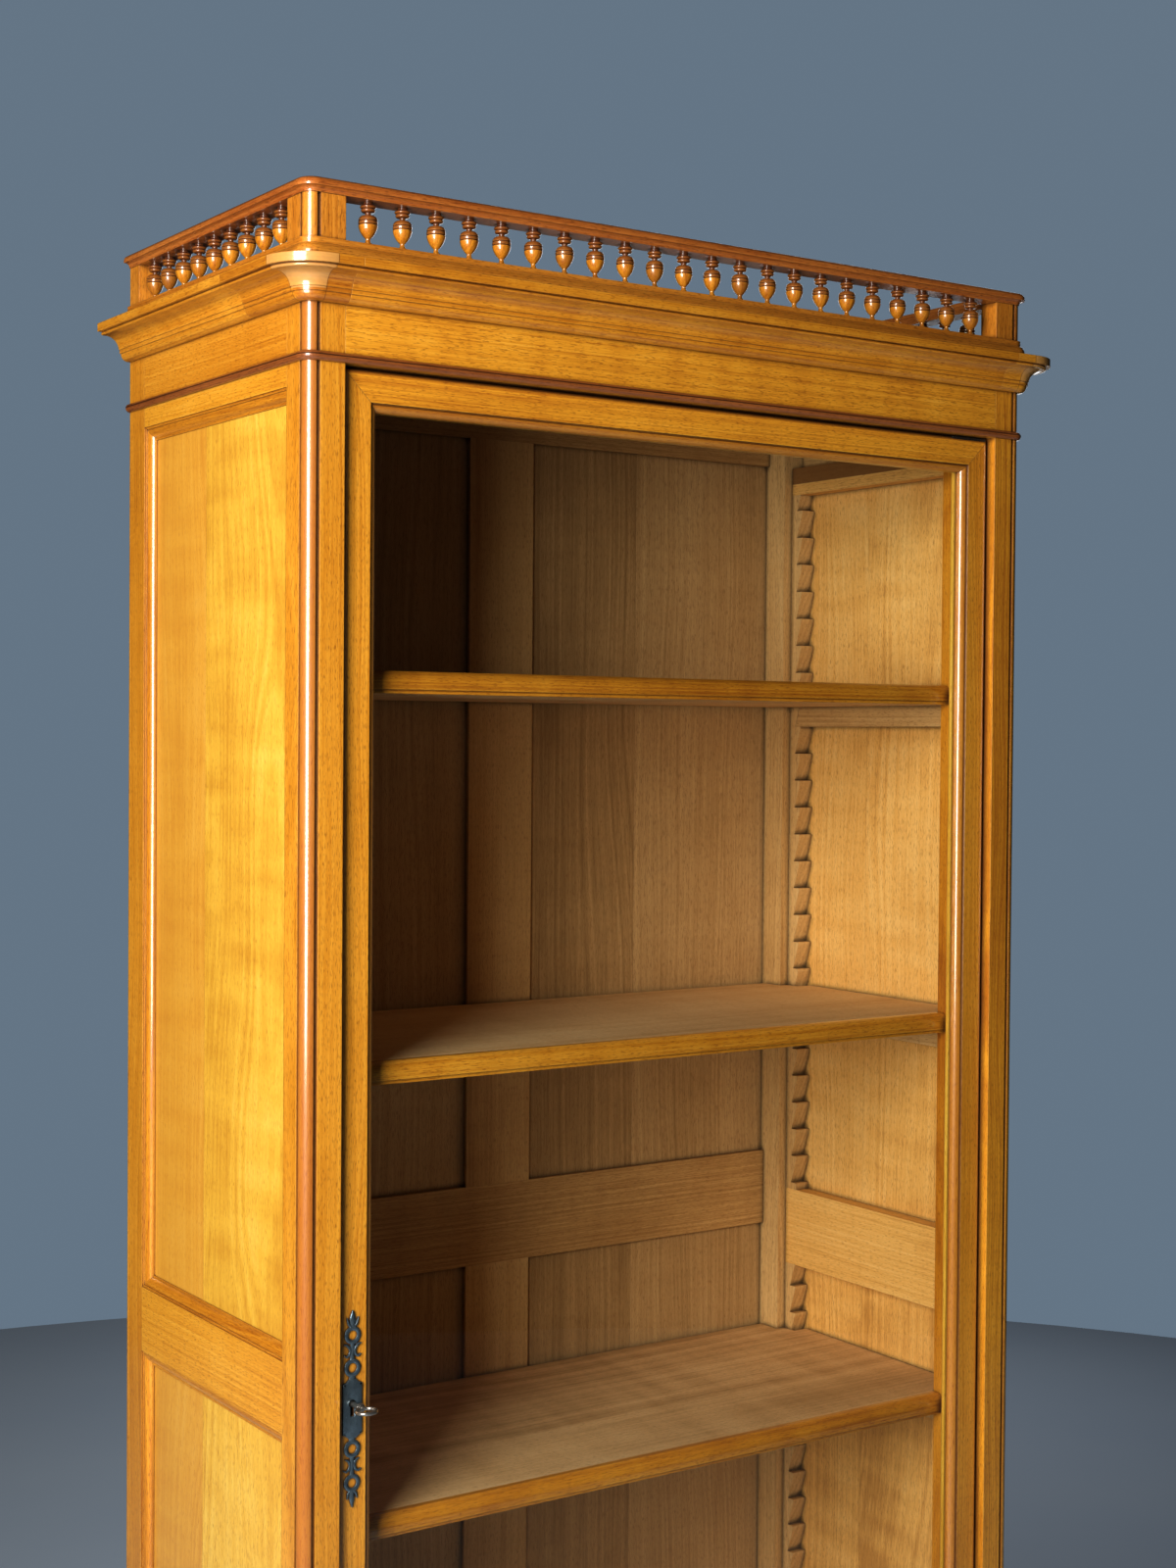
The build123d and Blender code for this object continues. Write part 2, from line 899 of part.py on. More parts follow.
def cleat_outline(low):
    """A cleat seen from the side: its ends lean to fit the sloping teeth."""
    c = cleat_clearance
    lean = tooth_depth * cleat_height / slope_rise
    start = front + front_post_depth + rack_body + c
    end = front + back_post_start - rack_body - c
    Polyline(
        (start, low),
        (end, low),
        (end - lean, low + cleat_height),
        (start + lean, low + cleat_height),
        close=True,
    )


for number, (rack, step) in enumerate(shelf_ledges, start=1):
    ledge = rack_spans[rack][2] + step * tooth_pitch
    shelf_low = ledge + cleat_height
    with BuildPart() as shelf:
        with BuildSketch(Plane.XY.offset(shelf_low)):
            with BuildLine():
                shelf_plan()
            make_face()
            mirror(about=Plane.YZ)
        extrude(amount=shelf_thickness)
        nose_half = half_width - lip_width - shelf_clearance
        nose_plane = Plane(
            origin=(-nose_half, front + shelf_front, shelf_low), x_dir=(0, 1, 0), z_dir=(1, 0, 0)
        )
        extrude(face_of(nose_plane, shelf_nose_outline), amount=2 * nose_half)
    keep(shelf, f"shelf_{number}")
    with BuildPart() as left_cleat:
        cleat_plane = Plane(
            origin=(left + panel_back + cleat_clearance, 0, 0), x_dir=(0, 1, 0), z_dir=(1, 0, 0)
        )
        section = face_of(cleat_plane, lambda: cleat_outline(ledge))
        extrude(section, amount=rack_thickness - cleat_clearance)
    keep(left_cleat, f"left_cleat_{number}")
    with BuildPart() as right_cleat:
        mirror(left_cleat.part, about=Plane.YZ)
    keep(right_cleat, f"right_cleat_{number}")


# Gallery: a balustrade on the front and both sides
def gallery_base_outline(offset, inner):
    top = gallery_base_height
    proud = gallery_base_projection + offset
    Line((inner, top), (inner, 0))
    Line((inner, 0), (offset + 3, 0))
    ThreePointArc((offset + 3, 0), (proud, 8), (offset + 3, 16))
    Polyline((offset + 3, 16), (offset + 3, top), (inner, top))


def gallery_top_outline(offset, inner):
    top = gallery_rail_height
    proud = gallery_rail_projection + offset
    Line((inner, top), (inner, 0))
    Line((inner, 0), (offset + 1, 0))
    ThreePointArc((offset + 1, 0), (offset + 2.4, 3.6), (offset + 6, 5))
    Polyline((offset + 6, 5), (proud, 5), (proud, 7))
    ThreePointArc((proud, 7), (proud - 1.8, 11.2), (proud - 6, top))
    Line((proud - 6, top), (inner, top))


def gallery_rail(outline, low):
    turned_corner(outline, 0, low)
    front_run(outline, gallery_thickness, low, column_radius, half_width)
    side_run(outline, gallery_thickness, low, column_radius, carcass_depth)
    mirror(about=Plane.YZ)


def gallery_joints(low, high):
    """Hairline mitres between the front and side rails, on the diagonal of each corner."""
    for side in (-1, 1):
        corner = (side * (half_width - gallery_thickness / 2), front + gallery_thickness / 2)
        with Locations(Location((corner[0], corner[1], (low + high) / 2), (0, 0, side * 45))):
            Box(glue_line, 4 * gallery_thickness, high - low, mode=Mode.SUBTRACT)


with BuildPart() as gallery_base_rails:
    gallery_rail(gallery_base_outline, cornice_top)
    gallery_joints(cornice_top, gallery_base_top)
keep(gallery_base_rails, "gallery_base_rails")
gallery_top = gallery_post_top + gallery_rail_height
with BuildPart() as gallery_top_rails:
    gallery_rail(gallery_top_outline, gallery_post_top)
    gallery_joints(gallery_post_top, gallery_top)
keep(gallery_top_rails, "gallery_top_rails")


def gallery_post_outline():
    column_post_outline(
        (post_face, gallery_post_wall),
        (gallery_post_wall, gallery_post_wall),
        (gallery_post_wall, post_side_flat),
    )


with BuildPart() as gallery_posts:
    post_plane = Plane((left, front, gallery_base_top))
    extrude(face_of(post_plane, gallery_post_outline), amount=gallery_post_height)
    side_bar(
        0,
        gallery_post_wall,
        carcass_depth - gallery_back_post,
        carcass_depth,
        gallery_base_top,
        gallery_post_top,
    )
    mirror(about=Plane.YZ)
keep(gallery_posts, "gallery_posts")


def baluster(x, y):
    """A turned baluster: foot, neck, ringed vase, ring, neck and cap."""
    h = gallery_post_height
    foot = baluster_radius * 0.62
    cap = baluster_radius * 0.71
    ring = baluster_radius * 0.55
    neck = baluster_neck
    plane = Plane(origin=(x, y, gallery_base_top), x_dir=(1, 0, 0), z_dir=(0, -1, 0))
    with BuildSketch(plane) as half:
        with BuildLine():
            Polyline((0, h), (0, 0), (foot, 0), (foot, h * 0.06))
            ThreePointArc((foot, h * 0.06), (neck + 0.6, h * 0.15), (neck, h * 0.26))
            Polyline((neck, h * 0.26), (ring, h * 0.28), (ring, h * 0.33), (neck, h * 0.35))
            ThreePointArc((neck, h * 0.35), (baluster_radius, h * 0.6), (neck, h * 0.82))
            Polyline((neck, h * 0.82), (cap, h * 0.88), (cap, h), (0, h))
        make_face()
    revolve(half.sketch, axis=Axis((x, y, 0), (0, 0, 1)))


baluster_line = gallery_thickness / 2
front_row_end = opening_half - front_baluster_inset
front_pitch = 2 * front_row_end / (front_baluster_count - 1)
side_row_start = front + post_side_flat + side_baluster_inset
side_row_end = front + carcass_depth - gallery_back_post - back_baluster_inset
side_pitch = (side_row_end - side_row_start) / (side_baluster_count - 1)
with BuildPart() as front_balusters:
    for i in range(front_baluster_count):
        baluster(-front_row_end + front_pitch * i, front + baluster_line)
keep(front_balusters, "front_balusters")
with BuildPart() as side_balusters:
    for i in range(side_baluster_count):
        baluster(left + baluster_line, side_row_start + side_pitch * i)
    mirror(about=Plane.YZ)
keep(side_balusters, "side_balusters")


# Door: four mitred members with the same section, a flat with a rounded outer
# edge, a quirk, an ovolo, and a rebate behind for the glass and its beads.
def door_section():
    r = door_edge_radius
    Line((r, 0), (door_flat, 0))
    Line((door_flat, 0), (door_flat, door_quirk))
    CenterArc((door_flat, door_quirk + door_ovolo), door_ovolo, 270, 90)
    Polyline(
        (sight, door_quirk + door_ovolo),
        (sight, glass_depth),
        (bead_near, glass_depth),
        (bead_near, door_thickness),
        (0, door_thickness),
        (0, r),
    )
    CenterArc((r, r), r, 180, 90)


def mitre_plane(x, z, x_sign, z_sign):
    """The plane of a mitre; its upper side is the rail's and its lower side the stile's."""
    return Plane(origin=(x, door_face, z), x_dir=(0, 1, 0), z_dir=(x_sign, 0, z_sign))


top_left = mitre_plane(door_left, door_top, 1, 1)
top_right = mitre_plane(door_right, door_top, -1, 1)
bottom_left = mitre_plane(door_left, door_bottom, 1, -1)
bottom_right = mitre_plane(door_right, door_bottom, -1, -1)


def member(origin, inward, along, length, planes, side):
    """One side of the door frame, cut to its mitres and rounded where it would bind on the post."""
    plane = Plane(origin=origin, x_dir=inward, z_dir=along)
    extrude(face_of(plane, door_section), amount=length)
    for cut in planes:
        split(bisect_by=cut, keep=side)
    with BuildSketch(Plane((door_right, door_back, door_bottom))) as waste:
        with BuildLine():
            Polyline((-hinge_back_radius, 0), (0, 0), (0, -hinge_back_radius))
            CenterArc((-hinge_back_radius, -hinge_back_radius), hinge_back_radius, 0, 90)
        make_face()
    extrude(waste.sketch, amount=door_height, mode=Mode.SUBTRACT)


key_low = lock_z - key_slot_drop


def key_hole(y0, y1):
    """The keyhole through a wall between two depths."""
    with BuildSketch(Plane(origin=(0, y0, 0), x_dir=(1, 0, 0), z_dir=(0, 1, 0))) as hole:
        with Locations((lock_x, -lock_z)):
            Circle(key_hole_radius)
        with Locations((lock_x, -(lock_z + key_low) / 2)):
            Rectangle(key_slot_width, lock_z - key_low)
    extrude(hole.sketch, amount=y1 - y0, mode=Mode.SUBTRACT)


lock_left = door_left
lock_right = door_left + lock_width
lock_low = lock_z - lock_height / 2
lock_high = lock_z + lock_height / 2
flange_low = lock_low - lock_flange
flange_high = lock_high + lock_flange
lock_screw_places = [
    (lock_left + offset, level)
    for offset in (lock_screw_inset, lock_screw_inset + lock_screw_spacing)
    for level in (flange_low + lock_flange / 2, flange_high - lock_flange / 2)
]


def lock_body(grow, mode):
    bar(
        lock_left - 1,
        lock_right + grow,
        lock_front - grow,
        door_back,
        lock_low - grow,
        lock_high + grow,
        mode,
    )
    bar(
        lock_left - 1,
        lock_right + grow,
        door_back - lock_wall,
        door_back,
        flange_low - grow,
        flange_high + grow,
        mode,
    )


def door_screw_set(mode):
    for x, z in lock_screw_places:
        screw(x, door_back, z, (0, -1, 0), mode)


def pivot_screw_set(mode):
    for x in plate_screws:
        screw(x, pivot_y, door_top, (0, 0, -1), mode)
        screw(x, pivot_y, door_bottom, (0, 0, 1), mode)


escutcheon_front = door_face - escutcheon_thickness
pin_levels = (escutcheon_above - escutcheon_pin_inset, -escutcheon_below + escutcheon_pin_inset)
pin_offset = escutcheon_width / 2 - escutcheon_pin_edge


def escutcheon_pin_set(mode):
    """Small nails through the corners of the escutcheon's plate."""
    for level in pin_levels:
        for side in (-1, 1):
            place = (lock_x + side * pin_offset, escutcheon_front, lock_z + level)
            plane = Plane(origin=place, x_dir=(1, 0, 0), z_dir=(0, 1, 0))
            with BuildSketch(plane) as round_pin:
                Circle(escutcheon_pin_radius)
            pin = escutcheon_thickness + escutcheon_pin_depth
            extrude(round_pin.sketch, amount=pin, mode=mode)


with BuildPart() as door_lock_stile:
    member(
        (door_left, door_face, door_bottom),
        (1, 0, 0),
        (0, 0, 1),
        door_height,
        (top_left, bottom_left),
        Keep.BOTTOM,
    )
    lock_body(lock_clearance, Mode.SUBTRACT)
    key_hole(door_face, lock_front)
    door_screw_set(Mode.SUBTRACT)
    escutcheon_pin_set(Mode.SUBTRACT)
keep(door_lock_stile, "door_lock_stile")


def pivot_pockets():
    pivot_plate_body(door_top - pivot_plate_thickness, Mode.SUBTRACT)
    pivot_plate_body(door_bottom, Mode.SUBTRACT)
    pivot_screw_set(Mode.SUBTRACT)


with BuildPart() as door_hinge_stile:
    member(
        (door_right, door_face, door_top),
        (-1, 0, 0),
        (0, 0, -1),
        door_height,
        (top_right, bottom_right),
        Keep.BOTTOM,
    )
    pivot_pockets()
keep(door_hinge_stile, "door_hinge_stile")
with BuildPart() as door_top_rail:
    member(
        (door_left, door_face, door_top),
        (0, 0, -1),
        (1, 0, 0),
        door_width,
        (top_left, top_right),
        Keep.TOP,
    )
    pivot_pockets()
keep(door_top_rail, "door_top_rail")
with BuildPart() as door_bottom_rail:
    member(
        (door_right, door_face, door_bottom),
        (0, 0, 1),
        (-1, 0, 0),
        door_width,
        (bottom_left, bottom_right),
        Keep.TOP,
    )
    pivot_pockets()
keep(door_bottom_rail, "door_bottom_rail")

with BuildPart() as door_pivot_plates:
    pivot_plate_body(door_top - pivot_plate_thickness, Mode.ADD)
    pivot_plate_body(door_bottom, Mode.ADD)
    with Locations((pivot_x, pivot_y, door_top + pin_length / 2 - 0.5)):
        Cylinder(pivot_pin_radius, pin_length + 1)
    with Locations((pivot_x, pivot_y, door_bottom - pin_length / 2 + 0.5)):
        Cylinder(pivot_pin_radius, pin_length + 1)
    pivot_screw_set(Mode.SUBTRACT)
keep(door_pivot_plates, "door_pivot_plates")

pane = bead_near + glass_clearance
with BuildPart() as door_glass:
    bar(
        door_left + pane,
        door_right - pane,
        door_face + glass_depth,
        door_face + glass_depth + glass_thickness,
        door_bottom + pane,
        door_top - pane,
    )
keep(door_glass, "door_glass")

bead_face = door_face + glass_depth + glass_thickness


def bead_stick_outline():
    Polyline(
        (0, bead_stick_depth),
        (0, 0),
        (bead_stick_width, 0),
        (bead_stick_width, 2),
    )
    ThreePointArc((bead_stick_width, 2), (6, 6.2), (2, bead_stick_depth))
    Line((2, bead_stick_depth), (0, bead_stick_depth))


with BuildPart() as glass_beads:
    bx0 = door_left + bead_near
    bx1 = door_right - bead_near
    bz0 = door_bottom + bead_near
    bz1 = door_top - bead_near
    with BuildLine() as bead_loop:
        Polyline(
            (0, bead_face, bz0),
            (bx0, bead_face, bz0),
            (bx0, bead_face, bz1),
            (bx1, bead_face, bz1),
            (bx1, bead_face, bz0),
            close=True,
        )
    bead_start = Plane(origin=(0, bead_face, bz0), x_dir=(0, 0, 1), z_dir=(-1, 0, 0))
    section = face_of(bead_start, bead_stick_outline)
    sweep(section, path=bead_loop.wire(), transition=Transition.RIGHT)
    for x, z, turn in ((bx0, bz0, 45), (bx1, bz1, 45), (bx0, bz1, -45), (bx1, bz0, -45)):
        with Locations(Location((x, bead_face + bead_stick_depth / 2, z), (0, turn, 0))):
            Box(glue_line, 2 * bead_stick_depth, 4 * bead_stick_width, mode=Mode.SUBTRACT)
keep(glass_beads, "glass_beads")

# Lock: a cut lock let in flush behind the stile. The bolt is retracted at rest,
# and the key's bit turns over the top and pushes the bolt out of its notch.
with BuildPart() as lock_case:
    lock_body(0, Mode.ADD)
    bar(
        lock_left - 2,
        lock_left,
        lock_front - 1,
        door_back + 1,
        flange_low - 1,
        flange_high + 1,
        Mode.SUBTRACT,
    )
    bar(
        lock_left + lock_wall,
        lock_right - lock_wall,
        lock_front + lock_wall,
        door_back - lock_wall,
        lock_low + lock_wall,
        lock_high - lock_wall,
        Mode.SUBTRACT,
    )
    bar(
        lock_left - 1,
        lock_left + lock_wall,
        bolt_y - slot_half,
        bolt_y + slot_half,
        bolt_low - bolt_clearance,
        bolt_high + bolt_clearance,
        Mode.SUBTRACT,
    )
    key_hole(lock_front, lock_front + lock_wall)
    door_screw_set(Mode.SUBTRACT)
keep(lock_case, "lock_case")

with BuildPart() as lock_bolt:
    bar(
        door_left + 0.3,
        lock_right - lock_wall - 1,
        bolt_y - bolt_thickness / 2,
        bolt_y + bolt_thickness / 2,
        bolt_low,
        bolt_high,
    )
    bar(
        lock_x - notch_left,
        lock_x + notch_right,
        bolt_y - bolt_thickness / 2,
        bolt_y + bolt_thickness / 2,
        bolt_low - 1,
        bolt_low + talon_height,
        Mode.SUBTRACT,
    )
keep(lock_bolt, "lock_bolt")

bow_centre = door_face - key_reach + bow_length / 2
with BuildPart() as key:
    shank_end = bow_centre + bow_length / 2 - bow_wire
    shank_start = bolt_y + bit_width / 2
    with BuildSketch(Plane(origin=(lock_x, shank_end, lock_z), x_dir=(1, 0, 0), z_dir=(0, 1, 0))):
        Circle(key_radius)
    extrude(amount=shank_start - shank_end)
    with BuildSketch(
        Plane(origin=(lock_x, shank_end + key_neck, lock_z), x_dir=(1, 0, 0), z_dir=(0, 1, 0))
    ):
        Circle(key_radius + key_collar_rim)
    extrude(amount=key_collar_length)
    bar(
        lock_x,
        lock_x + bit_reach,
        bolt_y - bit_width / 2,
        bolt_y + bit_width / 2,
        lock_z - bit_thickness / 2,
        lock_z + bit_thickness / 2,
    )
    with BuildSketch(Plane.XY.offset(lock_z - bow_wire)):
        with Locations((lock_x, bow_centre)):
            Ellipse(bow_width / 2, bow_length / 2)
            Ellipse(
                bow_width / 2 - 2 * bow_wire, bow_length / 2 - 2 * bow_wire, mode=Mode.SUBTRACT
            )
    extrude(amount=2 * bow_wire)
keep(key, "key")

# Escutcheon: a cast openwork plate, with its keyhole below the key's shank
with BuildPart() as escutcheon:
    plate_plane = Plane(origin=(lock_x, door_face, lock_z), x_dir=(1, 0, 0), z_dir=(0, -1, 0))
    with BuildSketch(plate_plane):
        with Locations((0, (escutcheon_above - escutcheon_below) / 2)):
            Rectangle(escutcheon_width, escutcheon_above + escutcheon_below)
        with Locations((0, (escutcheon_top - escutcheon_bottom) / 2)):
            Rectangle(stem_width, escutcheon_top + escutcheon_bottom - 2 * stem_width)
        for ring in (upper_ring, upper_collar, lower_collar, lower_ring):
            with Locations((0, ring)):
                Circle(ring_radius)
        for scroll in (upper_scroll, lower_scroll):
            with Locations((0, scroll)):
                Ellipse(escutcheon_width / 2, scroll_half_height)
        for tip, ring in ((escutcheon_top, upper_ring), (-escutcheon_bottom, lower_ring)):
            with Locations((0, (tip + ring) / 2)):
                Ellipse(finial_half_width, abs(tip - ring) / 2)
        for ring in (upper_ring, lower_ring):
            with Locations((0, ring)):
                Circle(ring_hole, mode=Mode.SUBTRACT)
        for scroll in (upper_scroll, lower_scroll):
            with Locations((-scroll_hole_offset, scroll), (scroll_hole_offset, scroll)):
                Ellipse(scroll_hole_width / 2, scroll_hole_height / 2, mode=Mode.SUBTRACT)
    extrude(amount=escutcheon_thickness)
    key_hole(escutcheon_front - 1, door_face)
    escutcheon_pin_set(Mode.SUBTRACT)
keep(escutcheon, "escutcheon")

with BuildPart() as door_screws:
    door_screw_set(Mode.ADD)
    pivot_screw_set(Mode.ADD)
    escutcheon_pin_set(Mode.ADD)
keep(door_screws, "door_screws")

os.makedirs("parts", exist_ok=True)
for node in nodes:
    export_step(node, f"parts/{node.label}.step")
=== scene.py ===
import math

import bmesh
import bpy
from mathutils import Matrix, Vector


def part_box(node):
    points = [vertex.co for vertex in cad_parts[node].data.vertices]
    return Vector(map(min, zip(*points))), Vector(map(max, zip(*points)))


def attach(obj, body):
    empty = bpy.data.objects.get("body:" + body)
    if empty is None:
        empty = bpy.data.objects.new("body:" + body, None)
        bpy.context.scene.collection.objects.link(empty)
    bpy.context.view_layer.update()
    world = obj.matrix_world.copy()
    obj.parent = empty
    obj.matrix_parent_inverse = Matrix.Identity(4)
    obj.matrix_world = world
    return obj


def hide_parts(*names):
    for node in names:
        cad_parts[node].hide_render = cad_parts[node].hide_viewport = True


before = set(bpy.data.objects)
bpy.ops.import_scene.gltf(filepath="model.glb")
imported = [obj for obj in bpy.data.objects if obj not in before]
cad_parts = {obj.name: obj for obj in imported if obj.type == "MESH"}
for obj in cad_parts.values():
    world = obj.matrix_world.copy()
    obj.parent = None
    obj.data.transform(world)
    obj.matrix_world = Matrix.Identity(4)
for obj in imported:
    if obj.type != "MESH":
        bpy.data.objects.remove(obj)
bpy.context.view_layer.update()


# Corner posts: beech squares the full height of the carcass, stained honey brown and French polished
# outside, left bare inside. The front pair have a quarter column worked on the corner between two
# quirks, and a strip planted behind the door for it to shut against.
class Reading:
    """What a node gives at each point of a surface. Sums on numbers add their own Math nodes."""

    def __init__(self, finish, socket):
        self.finish = finish
        self.socket = socket

    def part(self, name):
        """Another output of the same node."""
        return Reading(self.finish, find_socket(self.socket.node.outputs, name))

    def maths(self, operation, *terms):
        return self.finish.node("Math", {"operation": operation}, dict(enumerate(terms)))

    def __add__(self, other):
        return self.maths("ADD", self, other)

    def __radd__(self, other):
        return self.maths("ADD", other, self)

    def __sub__(self, other):
        return self.maths("SUBTRACT", self, other)

    def __rsub__(self, other):
        return self.maths("SUBTRACT", other, self)

    def __mul__(self, other):
        return self.maths("MULTIPLY", self, other)

    def __rmul__(self, other):
        return self.maths("MULTIPLY", other, self)

    def __truediv__(self, other):
        return self.maths("DIVIDE", self, other)

    def __gt__(self, other):
        return self.maths("GREATER_THAN", self, other)

    def __lt__(self, other):
        return self.maths("LESS_THAN", self, other)

    def __abs__(self):
        return self.maths("ABSOLUTE", self)

    def least(self, other):
        return self.maths("MINIMUM", self, other)

    def most(self, other):
        return self.maths("MAXIMUM", self, other)

    def whole(self):
        return self.maths("FLOOR", self)

    def between(self, low, high):
        """0 at the low value, 1 at the high one, with a soft start and end."""
        limits = {"Value": self, "From Min": low, "From Max": high}
        return self.finish.node("MapRange", {"interpolation_type": "SMOOTHSTEP"}, limits)


def find_socket(sockets, name):
    """A node's socket by its number, its identifier or its name."""
    if isinstance(name, int):
        return sockets[name]
    return next((s for s in sockets if s.identifier == name), None) or sockets[name]


class Finish:
    """A material as it is mixed: its nodes, and the cabinet's own coordinates that they start from."""

    def __init__(self, name):
        self.material = bpy.data.materials.new(name)
        self.material.use_nodes = True
        self.tree = self.material.node_tree
        self.tree.nodes.clear()
        self.place = self.node("TexCoord", gives="Object")
        self.x = self.node("SeparateXYZ", sockets={"Vector": self.place}, gives="X")
        self.y = self.x.part("Y")
        self.z = self.x.part("Z")

    def node(self, kind, settings=None, sockets=None, gives=0):
        """Adds a node: its settings are put on first, then the values or links of its sockets."""
        made = self.tree.nodes.new("ShaderNode" + kind)
        for name, value in (settings or {}).items():
            if name == "stops":
                self.set_stops(made.color_ramp, value)
            else:
                setattr(made, name, value)
        for name, value in (sockets or {}).items():
            socket = find_socket(made.inputs, name)
            if isinstance(value, Reading):
                self.tree.links.new(value.socket, socket)
            elif socket.type == "RGBA" and len(value) == 3:
                socket.default_value = (*value, 1)
            else:
                socket.default_value = value
        return Reading(self, find_socket(made.outputs, gives)) if made.outputs else None

    def set_stops(self, ramp, stops):
        while len(ramp.elements) < len(stops):
            ramp.elements.new(1)
        for element, (position, colour) in zip(ramp.elements, stops):
            element.position = position
            element.color = (*colour, 1)

    def noise(self, vector, detail=2, roughness=0.5, distortion=0):
        shape = {"Scale": 1, "Detail": detail, "Roughness": roughness, "Distortion": distortion}
        return self.node("TexNoise", sockets={"Vector": vector, **shape})

    def stretch(self, vector, *scales):
        return self.node("VectorMath", {"operation": "MULTIPLY"}, {0: vector, 1: scales})

    def mix(self, factor, first, second, blend="MIX"):
        """Two colours, mixed by a number that varies over the surface."""
        sockets = {"Factor_Float": factor, "A_Color": first, "B_Color": second}
        settings = {"data_type": "RGBA", "blend_type": blend}
        return self.node("Mix", settings, sockets, "Result_Color")

    def done(self, sockets):
        """The surface itself, from one Principled shader."""
        surface = self.node("BsdfPrincipled", sockets=sockets)
        self.node("OutputMaterial", sockets={"Surface": surface})
        return self.material


def stain(red, green, blue):
    """A colour as the eye reads it, 0 to 255, turned into the light that the shader counts."""
    shares = [value / 255 for value in (red, green, blue)]
    return tuple(s / 12.92 if s < 0.04045 else ((s + 0.055) / 1.055) ** 2.4 for s in shares)


side_panel_mid = 0.4435      # halfway through the side panels: inside it the wood is bare
stop_line = -0.157           # the door shuts against this line
ceiling_line = 2.07          # underside of the ceiling board


def straight(direction):
    """Fibres along one axis of the cabinet: the run of the grain, then the two ways across it."""
    return lambda finish: {
        "X": (finish.x, finish.y, finish.z),
        "Y": (finish.y, finish.x, finish.z),
        "Z": (finish.z, finish.x, finish.y),
    }[direction]


def inside_carcass(finish):
    """1 on the faces that look into the cabinet, 0 on those that show outside."""
    return (abs(finish.x) < side_panel_mid) * (finish.y > stop_line) * (finish.z < ceiling_line)


# Each recipe also holds a dark colour for quirks, gaps and corners: painted shade, with dirt
honey = {
    "dark": stain(168, 102, 28),
    "body": stain(206, 141, 40),
    "pale": stain(226, 166, 60),
    "fleck": stain(132, 70, 18),
    "dirt_and_shade": stain(80, 32, 10),
    "worn": stain(236, 178, 88),
}
bare = {
    "dark": stain(174, 134, 82),
    "body": stain(206, 168, 112),
    "pale": stain(222, 188, 134),
    "fleck": stain(150, 108, 64),
    "dirt_and_shade": stain(62, 42, 22),
    "worn": stain(204, 172, 122),
}


rings_per_metre = 330
pith_depth = 0.13            # the pith lies this far behind the face of a board
fleck_share = 0.52
arris_radius = 0.0011
nook_reach = 0.009           # how far off another face still darkens a corner with painted shade and dirt
relief = 0.00022             # height of the grain under the polish


